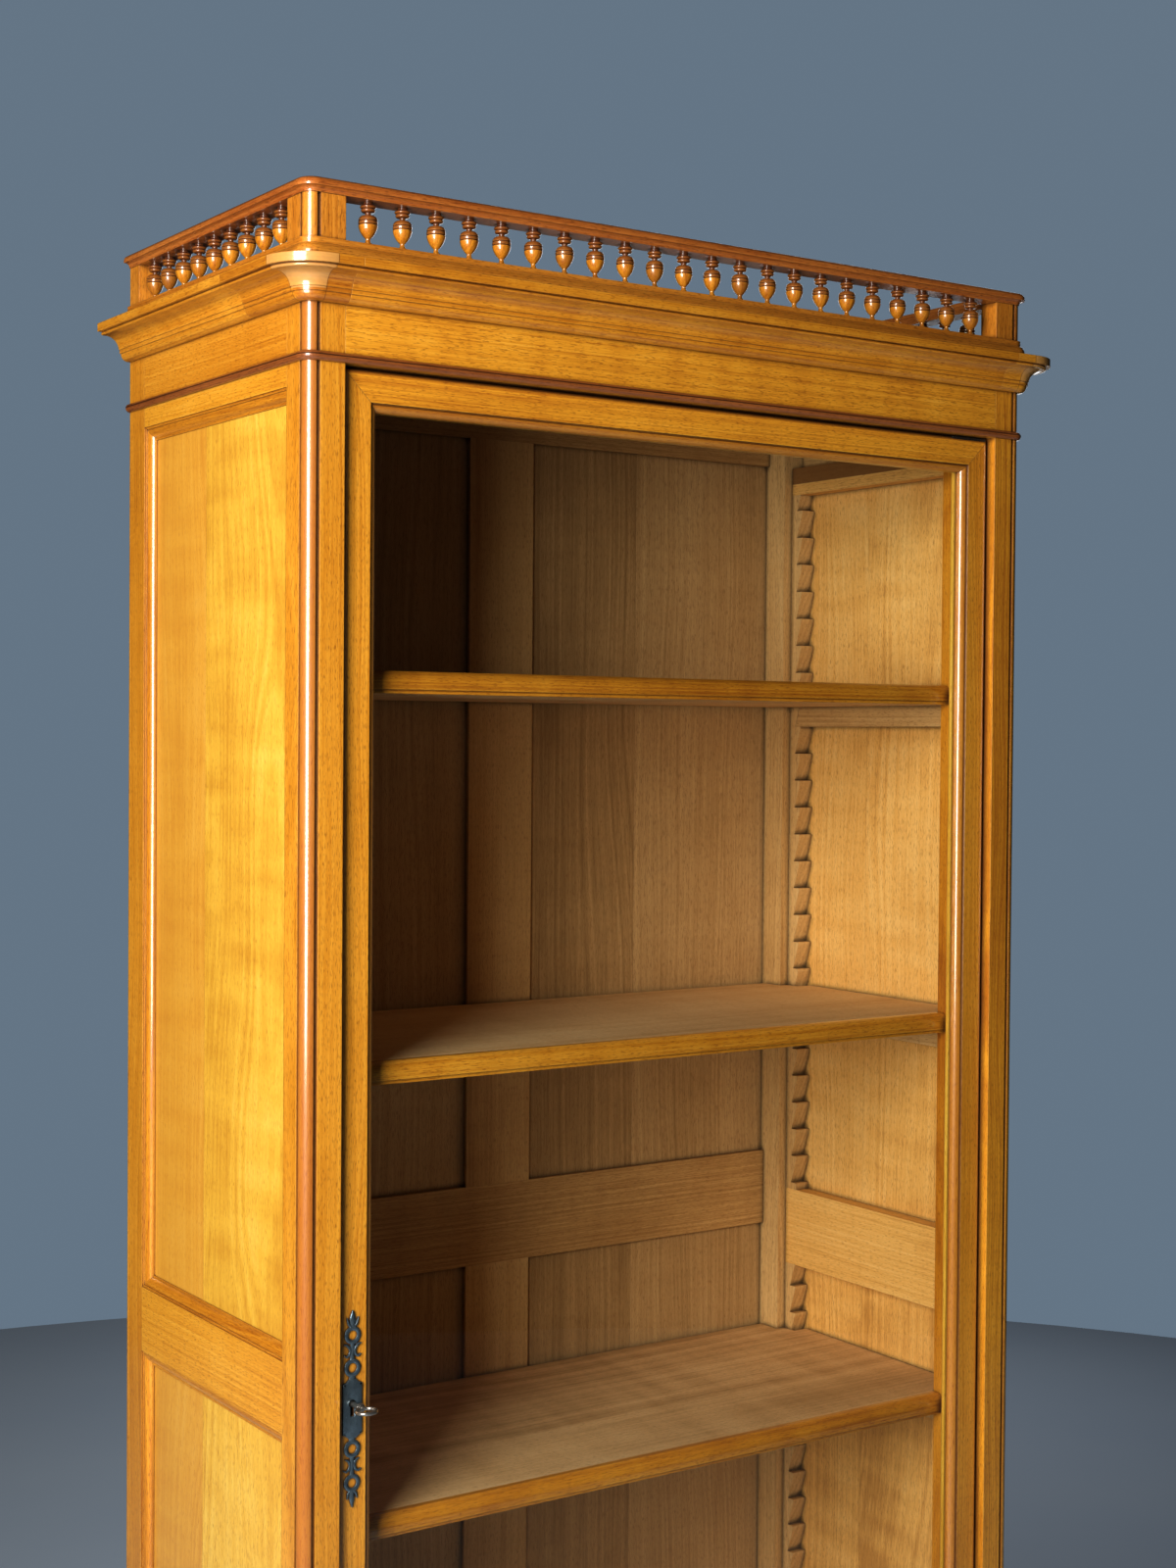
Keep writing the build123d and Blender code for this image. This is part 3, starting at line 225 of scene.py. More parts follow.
def timber(
    name, grain, seed, stains=honey, bareness=0, cuts=(), polish=0.9, dirt_and_shade=0.85, figure=0.2,
    touch=None, bare=bare,
):
    """Beech. Bareness is 0 for polished wood, 1 for raw wood, or a mask. Cuts are where boards meet.
    Touch colours the wood further, from what the finish and the plain wood give."""
    finish = Finish(name)
    run, wide, deep = grain(finish)
    board = seed
    for number, (way, position) in enumerate(cuts):
        board = (way(finish) > position) * (2 ** number) + board
    toss = finish.node("TexWhiteNoise", {"noise_dimensions": "1D"}, {"W": board}, "Color")
    lot = finish.node("SeparateColor", sockets={"Color": toss}, gives="Red")
    shift, cast = lot.part("Green"), lot.part("Blue")
    run = run + lot * 7
    wide = wide + shift * 0.9
    log = finish.node("CombineXYZ", sockets={"X": run, "Y": wide, "Z": deep + lot * 0.3})

    # Year rings round a pith that wanders, then fibres, and the short dark flecks of beech
    wander = finish.noise(finish.stretch(log, 1.6, 5, 5), detail=1)
    off_pith = wide - shift * 0.9 + (shift - 0.5) * 0.16 + (wander - 0.5) * 0.07
    heart = finish.node("VectorMath", {"operation": "LENGTH"}, {0: finish.node(
        "CombineXYZ", sockets={"X": off_pith, "Y": deep + pith_depth, "Z": run * 0.004})}, "Value")
    rings = finish.node(
        "TexNoise",
        {"noise_dimensions": "1D"},
        {"W": heart * rings_per_metre, "Scale": 1, "Detail": 2, "Roughness": 0.6},
    )
    streaks = finish.noise(finish.stretch(log, 7, 330, 330), detail=3, roughness=0.6)
    fibres = finish.noise(finish.stretch(log, 50, 1900, 1900), detail=2)
    clouds = finish.noise(finish.stretch(log, 2.4, 11, 11), detail=2)
    ripple = finish.noise(finish.stretch(log, 34, 8, 8), detail=1)
    fleck_field = finish.noise(finish.stretch(log, 150, 1200, 1200), detail=1)
    flecks = fleck_field.between(0.56, 0.68)
    tone = (
        0.5 + (rings - 0.5) * 0.7 + (streaks - 0.5) * 0.65 + (fibres - 0.5) * 0.5
        + (clouds - 0.5) * 0.75 + (ripple - 0.5) * figure + (cast - 0.5) * 0.36
    )

    def coloured(kind):
        stops = [(0.1, kind["dark"]), (0.5, kind["body"]), (0.9, kind["pale"])]
        plain = finish.node("ValToRGB", {"stops": stops}, {"Fac": tone})
        return finish.mix(flecks * fleck_share, plain, kind["fleck"])

    def blended(key):
        """One colour of the two recipes, by how bare the wood is."""
        if callable(bareness):
            return finish.mix(raw, stains[key], bare[key])
        return bare[key] if bareness else stains[key]

    raw = bareness(finish) if callable(bareness) else bareness
    if callable(bareness):
        wood = finish.mix(raw, coloured(stains), coloured(bare))
    else:
        wood = coloured(bare if bareness else stains)
    if touch:
        wood = touch(finish, wood)

    # Ambient occlusion darkens the quirks, gaps and corners: painted shade, with the polish and dirt that
    # gather there; the arrises are worn paler
    rounding = finish.node("Bevel", {"samples": 4}, {"Radius": arris_radius})
    flat = finish.node("NewGeometry", gives="Normal")
    alike = finish.node("VectorMath", {"operation": "DOT_PRODUCT"}, {0: rounding, 1: flat}, "Value")
    nook = finish.node("AmbientOcclusion", {"samples": 5}, {"Distance": nook_reach}, "AO")
    dirt_and_painted_shade = (1 - nook).between(0.16, 0.66) * dirt_and_shade
    arris = (1 - alike).between(0.02, 0.16) * nook.between(0.5, 0.9)
    chipped = arris * finish.noise(finish.stretch(log, 160, 260, 260), detail=2).between(0.46, 0.6)
    wood = finish.mix(arris * 0.3 + chipped * 0.5, wood, blended("worn"))
    wood = finish.mix(dirt_and_painted_shade, wood, blended("dirt_and_shade"))

    rough = 0.4 + (streaks - 0.5) * 0.16 + (clouds - 0.5) * 0.1 + dirt_and_painted_shade * 0.25
    gloss = {"Roughness": rough + raw * 0.25, "Coat Roughness": 0.13, "Coat IOR": 1.6}
    if callable(bareness):
        gloss["Coat Weight"] = (1 - raw) * polish
    else:
        gloss["Coat Weight"] = 0 if bareness else polish
    height = fibres * 0.5 + streaks * 0.6 + flecks * 0.3 + clouds * 6
    bump = finish.node(
        "Bump", sockets={"Strength": 0.6, "Distance": relief, "Height": height, "Normal": rounding}
    )
    return finish.done({"Base Color": wood, "Normal": bump, **gloss})


def dress(material, *names):
    """Gives CAD nodes their finish."""
    for name in names:
        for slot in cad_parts[name].material_slots:
            slot.material = material


upright = straight("Z")
across = straight("X")
backward = straight("Y")
column_side = 0.4465         # the corner columns lie outside this line, and in front of the next one
column_back = -0.18
column_red = stain(158, 92, 46)


def redder_column(finish, wood):
    """The left corner column is redder than the flats beside it."""
    column = (finish.x < -column_side) * (finish.y < column_back)
    return finish.mix(column * 0.65, wood, column_red)


golden = {
    "dark": stain(188, 122, 36),
    "body": stain(224, 162, 50),
    "pale": stain(238, 184, 76),
    "fleck": stain(140, 78, 22),
    "dirt_and_shade": stain(84, 34, 10),
    "worn": stain(240, 188, 100),
}
left_post_wood = timber("front_left_post", upright, 3, bareness=inside_carcass, touch=redder_column)
dress(left_post_wood, "front_left_post")
dress(timber("front_right_post", upright, 11, golden, inside_carcass), "front_right_post")
dress(timber("door_stop_strips", upright, 15, cuts=[(lambda f: f.x, 0)], dirt_and_shade=0.3), "door_stop_strips")
dress(timber("back_left_post", upright, 17, bareness=inside_carcass), "back_left_post")
dress(timber("back_right_post", upright, 19, bareness=inside_carcass), "back_right_post")


# Side frames: three rails tenoned between the posts on each side, round panels of two glued boards
# stained a brighter yellow, with a mitred ovolo moulding planted round each panel.
yellow = {
    "dark": stain(212, 158, 56),
    "body": stain(234, 188, 76),
    "pale": stain(244, 206, 102),
    "fleck": stain(180, 118, 38),
    "dirt_and_shade": stain(96, 42, 12),
    "worn": stain(244, 204, 120),
}
board_seam = 0.0495          # where the two boards of a side panel meet
middle_rail_low = 1.02675
middle_rail_high = 1.09525


def mitred_upright(way, edges, level_edges):
    """A frame of sticks: fibres run up the sticks near the edges and along the others."""

    def grain(finish):
        level = way(finish)
        to_side = (abs(level - edges[0])).least(abs(level - edges[1]))
        to_end = abs(finish.z - level_edges[0])
        for edge in level_edges[1:]:
            to_end = to_end.least(abs(finish.z - edge))
        standing = to_side < to_end
        depth = finish.y if way is across_width else finish.x
        run = level + (finish.z - level) * standing
        wide = finish.z + (level - finish.z) * standing
        return run, wide, depth

    return grain


def across_width(finish):
    return finish.x


def across_depth(finish):
    return finish.y


side_low, side_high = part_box("side_panel_mouldings")
side_frame = mitred_upright(
    across_depth,
    (side_low.y, side_high.y),
    (side_low.z, middle_rail_low, middle_rail_high, side_high.z),
)
rail_cuts = [(lambda f: f.z, 0.6), (lambda f: f.z, 1.5), (lambda f: f.x, 0)]
panel_cuts = [(lambda f: f.y, board_seam), (lambda f: f.z, middle_rail_low), (lambda f: f.x, 0)]
rear_board_tone = stain(214, 148, 60)


def darker_rear_board(finish, wood):
    """The rear board of each pair took the stain darker than the front one."""
    rear = (finish.y > board_seam) * (1 - inside_carcass(finish))
    return finish.mix(rear * 0.5, wood, rear_board_tone)


sunned = {
    "dark": stain(196, 146, 76),
    "body": stain(228, 180, 104),
    "pale": stain(240, 200, 130),
    "fleck": stain(164, 116, 60),
    "dirt_and_shade": stain(66, 42, 20),
    "worn": stain(226, 184, 120),
}
# A dark brown recipe, for the ceiling board and the tops of the top rails inside
dark_brown = {
    "dark": stain(92, 56, 24),
    "body": stain(116, 74, 34),
    "pale": stain(136, 92, 46),
    "fleck": stain(80, 46, 20),
    "dirt_and_shade": stain(40, 22, 8),
    "worn": stain(150, 104, 58),
}


def brown_top_inside(finish, wood):
    """Inside, the upper part of each top rail is brown, unlike the panels under it."""
    return finish.mix((finish.z > side_high.z) * inside_carcass(finish) * 0.85, wood, dark_brown["body"])


side_rail_wood = timber(
    "side_rails", backward, 23, golden, inside_carcass, rail_cuts, touch=brown_top_inside, bare=sunned
)
dress(side_rail_wood, "left_side_rails", "right_side_rails")
panel_wood = timber(
    "side_panels", upright, 31, yellow, inside_carcass, panel_cuts, figure=0.6,
    touch=darker_rear_board, bare=sunned,
)
dress(panel_wood, "side_panels")
dress(timber("side_panel_mouldings", side_frame, 41), "side_panel_mouldings")


# Frieze: boards let in between the posts above the door and over the side panels, a half round bead
# stained dark that rings the cabinet under them, and the stop rail that hangs behind the door's head.
mahogany = {
    "dark": stain(108, 58, 26),
    "body": stain(144, 86, 42),
    "pale": stain(178, 114, 60),
    "fleck": stain(84, 42, 18),
    "dirt_and_shade": stain(44, 18, 8),
    "worn": stain(226, 168, 104),
}
front_face = -0.1905


def ringed(front_line):
    """A moulding that goes round the front and both sides: fibres follow each length of it."""

    def grain(finish):
        facing = finish.y < front_line
        run = finish.y + (finish.x - finish.y) * facing
        wide = finish.x + (finish.y - finish.x) * facing
        return run, wide, finish.z

    return grain


round_the_front = ringed(front_face + 0.006)
frieze_wood = timber("front_frieze", across, 47, golden, inside_carcass, figure=0.4)
dress(frieze_wood, "front_frieze")
side_frieze_wood = timber("side_friezes", backward, 53, bareness=inside_carcass, cuts=[(lambda f: f.x, 0)])
dress(side_frieze_wood, "side_friezes")
dress(timber("head_stop_rail", across, 59, bareness=1), "head_stop_rail")
bead_low, bead_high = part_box("frieze_bead")
bead_line = bead_low.z + (bead_high.z - bead_low.z) * 0.62
bead_line_half = 0.0006


def bead_groove_shade_and_dirt(finish, wood):
    """A line along the bead is painted dark: the shade and the dirt of a scribed groove that this bead
    doesn't have.
    """
    line = abs(finish.z - bead_line) < bead_line_half
    return finish.mix(line * 0.8, wood, mahogany["dirt_and_shade"])


dress(timber("frieze_bead", round_the_front, 61, mahogany, polish=1, touch=bead_groove_shade_and_dirt), "frieze_bead")


# Cornice: worked solid in four lengths and two corner blocks, planted on the frieze, with the dust
# board of the top let in behind it.
corner_cuts = [(lambda f: f.x, 0)]
turn_side = 0.443            # the turned corners lie outside this line, and in front of the next one
turn_back = -0.1815
turn_foot = 2.0962           # the hollow of the moulding starts at this height
joint_half = 0.0005
joint_shade = stain(84, 40, 14)
pale_turn = stain(206, 160, 98)


def paler_turn(finish, wood):
    """The turned corners were cut from paler wood, and a fine joint shows on each side of them."""
    past_side = abs(finish.x) - turn_side
    before_back = turn_back - finish.y
    turn_wood = (past_side > 0) * (before_back > 0) * (finish.z > turn_foot)
    joint = (abs(past_side) < joint_half).most(abs(before_back) < joint_half)
    wood = finish.mix(turn_wood * 0.7, wood, pale_turn)
    return finish.mix(joint * 0.55, wood, joint_shade)


dress(timber("cornice_front", across, 67, figure=0.4, dirt_and_shade=0.6), "cornice_front")
dress(timber("cornice_sides", backward, 71, cuts=corner_cuts, figure=0.6, dirt_and_shade=0.6), "cornice_sides")
corner_wood = timber("cornice_corners", round_the_front, 73, cuts=corner_cuts, dirt_and_shade=0.6, touch=paler_turn)
dress(corner_wood, "cornice_corner_blocks")
dress(timber("top_board", across, 79, bareness=1), "top_board")


# Base: a bottom rail under the door, plinth boards planted round the feet of the posts, a small
# moulding on them, and the bottom board that the lowest compartment stands on.
dress(timber("bottom_rail", across, 83, bareness=inside_carcass), "bottom_rail")
dress(timber("plinth_boards", round_the_front, 89, cuts=corner_cuts), "plinth_boards")
dress(timber("base_moulding", round_the_front, 97, cuts=corner_cuts), "base_moulding")
dress(timber("bottom_board", across, 101, bareness=1), "bottom_board")


# Back: a frame of three rails and two muntins grooved for four panels of two boards each, and the
# ceiling board, all left without polish.
back_seam = 0.199
back_cuts = [
    (lambda f: f.x, -back_seam),
    (lambda f: f.x, 0),
    (lambda f: f.x, back_seam),
    (lambda f: f.z, 1.107),
]
back_rail_cuts = [(lambda f: f.z, 0.6), (lambda f: f.z, 1.5)]
dress(timber("back_rails", across, 103, bareness=1, cuts=back_rail_cuts), "back_rails")
dress(timber("back_muntins", upright, 107, bareness=1, cuts=[(lambda f: f.z, 1.107)]), "back_muntins")
greyed = {
    "dark": stain(158, 126, 82),
    "body": stain(190, 156, 108),
    "pale": stain(208, 176, 128),
    "fleck": stain(138, 102, 62),
    "dirt_and_shade": stain(56, 38, 20),
    "worn": stain(196, 166, 120),
}
dress(timber("back_panels", upright, 109, bareness=1, cuts=back_cuts, bare=greyed), "back_panels")
dress(timber("ceiling_board", across, 113, bareness=1, bare=dark_brown), "ceiling_board")


# Racks and cleats: saw-toothed strips of bare beech fixed in the corners inside, and loose cleats
# whose ends drop between the teeth to carry the shelves.
dress(timber("left_racks", upright, 127, bareness=1, cuts=[(lambda f: f.y, 0)]), "left_racks")
dress(timber("right_racks", upright, 131, bareness=1, cuts=[(lambda f: f.y, 0)]), "right_racks")
for number in range(1, 5):
    for side in ("left", "right"):
        cleat = f"{side}_cleat_{number}"
        dress(timber(cleat, backward, 137 + 10 * number + len(side), bareness=1), cleat)


# Gallery: a balustrade of three sides on the top: base rail, corner and end posts, turned balusters
# with two rings cut round the belly, and a moulded hand rail, stained darker than the case.
turned = {
    "dark": stain(142, 84, 26),
    "body": stain(194, 126, 40),
    "pale": stain(222, 156, 62),
    "fleck": stain(104, 52, 18),
    "dirt_and_shade": stain(60, 24, 9),
    "worn": stain(236, 172, 92),
}
dress(timber("gallery_posts", upright, 149, turned, cuts=corner_cuts), "gallery_posts")
dress(timber("gallery_base_rails", round_the_front, 151, turned), "gallery_base_rails")
rail_red = {
    "dark": stain(132, 70, 28),
    "body": stain(174, 102, 44),
    "pale": stain(204, 134, 64),
    "fleck": stain(96, 44, 18),
    "dirt_and_shade": stain(52, 20, 8),
    "worn": stain(238, 172, 96),
}
dress(timber("gallery_top_rails", round_the_front, 157, rail_red), "gallery_top_rails")

front_count = 22
side_count = 9
baluster_steps = 24
groove_share = 0.5           # the lower ring is cut this far up a baluster


def bowed(start, end, bow, steps):
    """Points along a curve from start to end that swells outwards by bow, or inwards if it is negative."""
    along = Vector(end) - Vector(start)
    out = Vector((along.y, -along.x)).normalized() * bow
    shares = [step / steps for step in range(steps + 1)]
    return [Vector(start) + along * share + out * 4 * share * (1 - share) for share in shares]


def baluster_outline(height, belly):
    """Radius and height of a baluster from its foot to its cap, in metres."""
    foot = 0.38 * belly
    neck = 0.32 * belly
    cap = 0.86 * belly
    grooves = (groove_share * height, 0.585 * height)
    groove_half = 0.0007
    groove_depth = 0.0011
    outline = [Vector((0, 0))] + bowed((foot, 0), (foot, 0.09 * height), 0.0008, 4)
    outline += bowed((neck, 0.1 * height), (neck * 0.8, 0.185 * height), -0.0003, 5)
    outline += bowed((neck * 0.95, 0.195 * height), (belly * 0.99, grooves[0] - 2 * groove_half), 0.0011, 9)
    for level in grooves:
        outline.append(Vector((belly, level - groove_half)))
        outline.append(Vector((belly - groove_depth, level)))
        outline.append(Vector((belly, level + groove_half)))
    outline += bowed((belly * 0.95, grooves[1] + 3 * groove_half), (neck, 0.7 * height), 0.0013, 6)
    outline += bowed((neck, 0.71 * height), (neck * 1.1, 0.77 * height), -0.0004, 3)
    outline += bowed((cap * 0.7, 0.78 * height), (cap * 0.7, 0.86 * height), 0.0013, 5)
    outline += bowed((cap * 0.86, 0.87 * height), (cap * 0.86, 0.93 * height), 0.0009, 5)
    outline += [Vector((neck * 1.6, 0.945 * height)), Vector((neck * 1.6, height)), Vector((0, height))]
    return outline


def turn(mesh, x, y, foot, outline, steps):
    """Adds one turned shape, spun round an upright axis."""
    centre = Vector((x, y, foot))
    ring = [mesh.verts.new(centre + Vector((point.x, 0, point.y))) for point in outline]
    edges = [mesh.edges.new(pair) for pair in zip(ring, ring[1:])]
    bmesh.ops.spin(
        mesh,
        geom=ring + edges,
        cent=centre,
        axis=(0, 0, 1),
        angle=2 * math.pi,
        steps=steps,
        use_merge=True,
        use_duplicate=False,
    )


def new_piece(name, mesh, material, body, slot, *stands_for, smooth=None):
    """Closes a mesh up as a piece that rides on a body and stands for its CAD nodes."""
    bmesh.ops.remove_doubles(mesh, verts=mesh.verts, dist=0.00001)
    bmesh.ops.recalc_face_normals(mesh, faces=mesh.faces)
    data = bpy.data.meshes.new(name)
    mesh.to_mesh(data)
    mesh.free()
    piece = bpy.data.objects.new(name, data)
    bpy.context.scene.collection.objects.link(piece)
    data.materials.append(material)
    if smooth:
        data.shade_smooth()
        data.set_sharp_from_angle(angle=math.radians(smooth))
    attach(piece, body)
    for node in stands_for:
        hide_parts(node)
    return piece


def row(low, high, count):
    """Centres of evenly spaced turnings whose outer faces lie at low and high."""
    radius = baluster_belly
    step = (high - low - 2 * radius) / (count - 1)
    return [low + radius + step * number for number in range(count)]


row_low, row_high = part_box("front_balusters")
side_row_low, side_row_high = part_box("side_balusters")
baluster_foot = row_low.z
baluster_height = row_high.z - row_low.z
baluster_belly = (row_high.y - row_low.y) / 2
turned_outline = baluster_outline(baluster_height, baluster_belly)
front_centres = row(row_low.x, row_high.x, front_count)
side_centres = row(side_row_low.y, side_row_high.y, side_count)
front_pitch = front_centres[1] - front_centres[0]
side_pitch = side_centres[1] - side_centres[0]
shoulder_line = baluster_foot + groove_share * baluster_height
shoulder_brown = stain(112, 62, 36)


def stick_colours(finish, wood):
    """Each baluster is turned from a stick of its own, and the shoulder is browner than the belly."""
    along_front = ((finish.x - row_low.x) / front_pitch).whole()
    place = along_front + ((finish.y - side_row_low.y) / side_pitch).whole() * 31
    stick = finish.node("TexWhiteNoise", {"noise_dimensions": "1D"}, {"W": place}, "Value")
    shoulder = (finish.z > shoulder_line) * 0.72
    return finish.mix(shoulder.most((stick - 0.55) * 1.3), wood, shoulder_brown)


baluster_wood = timber("balusters", upright, 163, polish=1, dirt_and_shade=1, touch=stick_colours)
front_row = bmesh.new()
for x in front_centres:
    turn(front_row, x, (row_low.y + row_high.y) / 2, baluster_foot, turned_outline, baluster_steps)
new_piece("front_baluster_row", front_row, baluster_wood, "carcass", "beech", "front_balusters", smooth=40)
side_rows = bmesh.new()
for x in (side_row_low.x + baluster_belly, side_row_high.x - baluster_belly):
    for y in side_centres:
        turn(side_rows, x, y, baluster_foot, turned_outline, baluster_steps)
new_piece("side_baluster_rows", side_rows, baluster_wood, "carcass", "beech", "side_balusters", smooth=40)


# Door: four mitred members with a rounded outer edge, a quirk and an ovolo, round one sheet of old
# glass held by small beads behind it.
door_low, door_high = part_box("glass_beads")
bead_frame = mitred_upright(across_width, (door_low.x, door_high.x), (door_low.z, door_high.z))
stile_low, stile_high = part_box("door_lock_stile")
mitre_half = 0.0004
mitre_dirt_quirk_shade = stain(64, 26, 8)
quirk_line = 0.0318          # distance of the quirk from the door's outer edge, and its half width
quirk_half = 0.0011
ovolo_brown = stain(138, 80, 34)


def door_lines(finish, wood):
    """Dirt marks the four mitres, painted shade and dirt darken the quirk, and the ovolo inside it is
    browner than the flat.
    """
    from_side = abs(finish.x) + stile_low.x
    from_top = finish.z - stile_high.z
    from_foot = stile_low.z - finish.z
    mitre = (abs(from_side - from_top) < mitre_half).most(abs(from_side - from_foot) < mitre_half)
    inwards = 0 - from_side.most(from_top).most(from_foot)
    # The quirk line is painted shade, with dirt
    quirk = abs(inwards - quirk_line) < quirk_half
    wood = finish.mix((inwards > quirk_line) * 0.45, wood, ovolo_brown)
    return finish.mix((mitre * 0.75).most(quirk * 0.7), wood, mitre_dirt_quirk_shade)


dress(timber("door_lock_stile", upright, 167, touch=door_lines), "door_lock_stile")
dress(timber("door_hinge_stile", upright, 173, touch=door_lines), "door_hinge_stile")
dress(timber("door_top_rail", across, 179, golden, touch=door_lines), "door_top_rail")
dress(timber("door_bottom_rail", across, 181, golden, touch=door_lines), "door_bottom_rail")
dress(timber("glass_beads", bead_frame, 191, yellow, dirt_and_shade=0), "glass_beads")


def sheet_glass():
    finish = Finish("sheet_glass")
    waves = finish.noise(finish.stretch(finish.place, 3, 3, 9), detail=1)
    bump = finish.node("Bump", sockets={"Strength": 0.1, "Distance": 0.002, "Height": waves})
    shine = finish.node(
        "BsdfPrincipled",
        sockets={"Base Color": (0.9, 0.94, 0.92), "Metallic": 1, "Roughness": 0.02, "Normal": bump},
    )
    clear = finish.node("BsdfTransparent", sockets={"Color": (0.975, 0.985, 0.975)})
    outer = 1 - finish.node("NewGeometry", gives="Backfacing")
    grazing = finish.node("Fresnel", sockets={"IOR": 1.5, "Normal": bump}) * outer
    glass = finish.node("MixShader", sockets={"Fac": grazing, 1: clear, 2: shine})
    finish.node("OutputMaterial", sockets={"Surface": glass})
    return finish.material


dress(sheet_glass(), "door_glass")


# Ironmongery: plates, screws, a cut lock let in behind the stile, its bolt and key in plain steel,
# and the cast openwork escutcheon in dark iron.
def worn_metal(name, body, worn, roughness, metal, spots=0.4):
    """Metal that has darkened in patches, with edges made brighter, partly by wear and partly as a painted
    highlight, and hollows darkened by painted shade with dirt.
    """
    finish = Finish(name)
    patches = finish.noise(finish.stretch(finish.place, 180, 180, 180), detail=4, roughness=0.6)
    pits = finish.noise(finish.stretch(finish.place, 900, 900, 900), detail=2)
    rounding = finish.node("Bevel", {"samples": 4}, {"Radius": 0.0005})
    flat = finish.node("NewGeometry", gives="Normal")
    alike = finish.node("VectorMath", {"operation": "DOT_PRODUCT"}, {0: rounding, 1: flat}, "Value")
    nook = finish.node("AmbientOcclusion", {"samples": 5}, {"Distance": 0.004}, "AO")
    # Brighter edges: wear, and a painted highlight
    edge_wear_and_glint = (1 - alike).between(0.02, 0.2) * nook.between(0.4, 0.9) * 0.7
    colour = finish.mix(patches.between(0.35, 0.7) * spots, body, tuple(c * 0.45 for c in body))
    colour = finish.mix(edge_wear_and_glint, colour, worn)
    # Painted shade darkens the hollows and gaps, with old dirt in them
    colour = finish.mix((1 - nook).between(0.2, 0.8) * 0.8, colour, tuple(c * 0.2 for c in body))
    bump = finish.node(
        "Bump",
        sockets={"Strength": 0.5, "Distance": 0.00025, "Height": patches + pits * 0.4, "Normal": rounding},
    )
    rough = roughness + (patches - 0.5) * 0.3
    return finish.done({"Base Color": colour, "Metallic": metal, "Roughness": rough, "Normal": bump})


steel = worn_metal("steel", stain(168, 164, 158), stain(226, 222, 216), 0.28, metal=0.85)
iron = worn_metal("dark_iron", stain(104, 120, 130), stain(220, 226, 230), 0.24, metal=0.6)
dull_steel = worn_metal("dull_steel", stain(74, 70, 66), stain(150, 146, 140), 0.45, metal=0.6)
dress(dull_steel, "frame_pivot_plates", "door_pivot_plates")
dress(steel, "strike_plate", "frame_screws", "lock_case", "door_screws", "lock_bolt")

escutcheon_low, escutcheon_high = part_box("escutcheon")
lock_x = (escutcheon_low.x + escutcheon_high.x) / 2
lock_z = escutcheon_high.z - 0.089
door_face = escutcheon_high.y
iron_thickness = escutcheon_high.y - escutcheon_low.y
bar_depth = 0.0023
bar_sides = 8
ring_levels = (0.065, 0.034, -0.043, -0.0755)
ring_mean = 0.0066
ring_half = 0.0021
ring_steps = 32
plate_outline = [
    (-0.004, 0.0232), (-0.0065, 0.0205), (-0.0102, 0.0192), (-0.0102, -0.0288), (-0.006, -0.031),
    (-0.004, -0.033), (0.004, -0.033), (0.006, -0.031), (0.0102, -0.0288), (0.0102, 0.0192),
    (0.0065, 0.0205), (0.004, 0.0232),
]
keyhole_radius = 0.0035
slot_half = 0.0021
slot_drop = 0.012


def section_at(path, widths, number):
    """Place of a bar's section: x across the bar, y out of the door, z along it."""
    before, after = path[max(number - 1, 0)], path[min(number + 1, len(path) - 1)]
    along = Vector((after[0] - before[0], 0, after[1] - before[1])).normalized()
    out = Vector((0, 1, 0))
    across_bar = out.cross(along)
    centre = Vector((lock_x + path[number][0], door_face - iron_thickness / 2, lock_z + path[number][1]))
    sides = (across_bar * widths[number] / 2, out * bar_depth / 2, along * 0.001)
    place = Matrix(sides).transposed().to_4x4()
    place.translation = centre
    return place


def cast_bar(mesh, path, widths):
    """A rounded bar drawn along a path of points, as wide at each as its width says."""
    place = section_at(path, widths, 0)
    ring = bmesh.ops.create_circle(mesh, segments=bar_sides, radius=1, matrix=place)["verts"]
    edges = {edge for vert in ring for edge in vert.link_edges}
    for number in range(1, len(path)):
        onward = section_at(path, widths, number)
        grown = bmesh.ops.extrude_edge_only(mesh, edges=list(edges))["geom"]
        verts = [part for part in grown if isinstance(part, bmesh.types.BMVert)]
        bmesh.ops.transform(mesh, matrix=onward @ place.inverted(), verts=verts)
        edges = {
            edge for part in verts for edge in part.link_edges
            if all(end in verts for end in edge.verts)
        }
        place = onward


def flat_loop(mesh, points):
    ring = [mesh.verts.new((lock_x + x, door_face, lock_z + z)) for x, z in points]
    return [mesh.edges.new(pair) for pair in zip(ring, ring[1:] + ring[:1])]


casting = bmesh.new()
slot_angle = math.asin(slot_half / keyhole_radius)
arc = [-math.pi / 2 + slot_angle + (2 * math.pi - 2 * slot_angle) * step / 20 for step in range(21)]
keyhole = [(keyhole_radius * math.cos(a), keyhole_radius * math.sin(a)) for a in arc]
keyhole += [(-slot_half, -slot_drop), (slot_half, -slot_drop)]
rims = flat_loop(casting, plate_outline) + flat_loop(casting, keyhole)
bmesh.ops.triangle_fill(casting, edges=rims, use_beauty=True)
raised = bmesh.ops.extrude_face_region(casting, geom=list(casting.faces))["geom"]
raised_verts = [part for part in raised if isinstance(part, bmesh.types.BMVert)]
bmesh.ops.translate(casting, verts=raised_verts, vec=(0, -iron_thickness, 0))
bmesh.ops.recalc_face_normals(casting, faces=casting.faces)
front_rim = [
    edge for edge in casting.edges
    if all(end in raised_verts for end in edge.verts) and edge.calc_face_angle(0) > 1
]
bmesh.ops.bevel(
    casting, geom=front_rim, offset=0.0008, segments=2, profile=0.5, affect="EDGES", material=-1
)
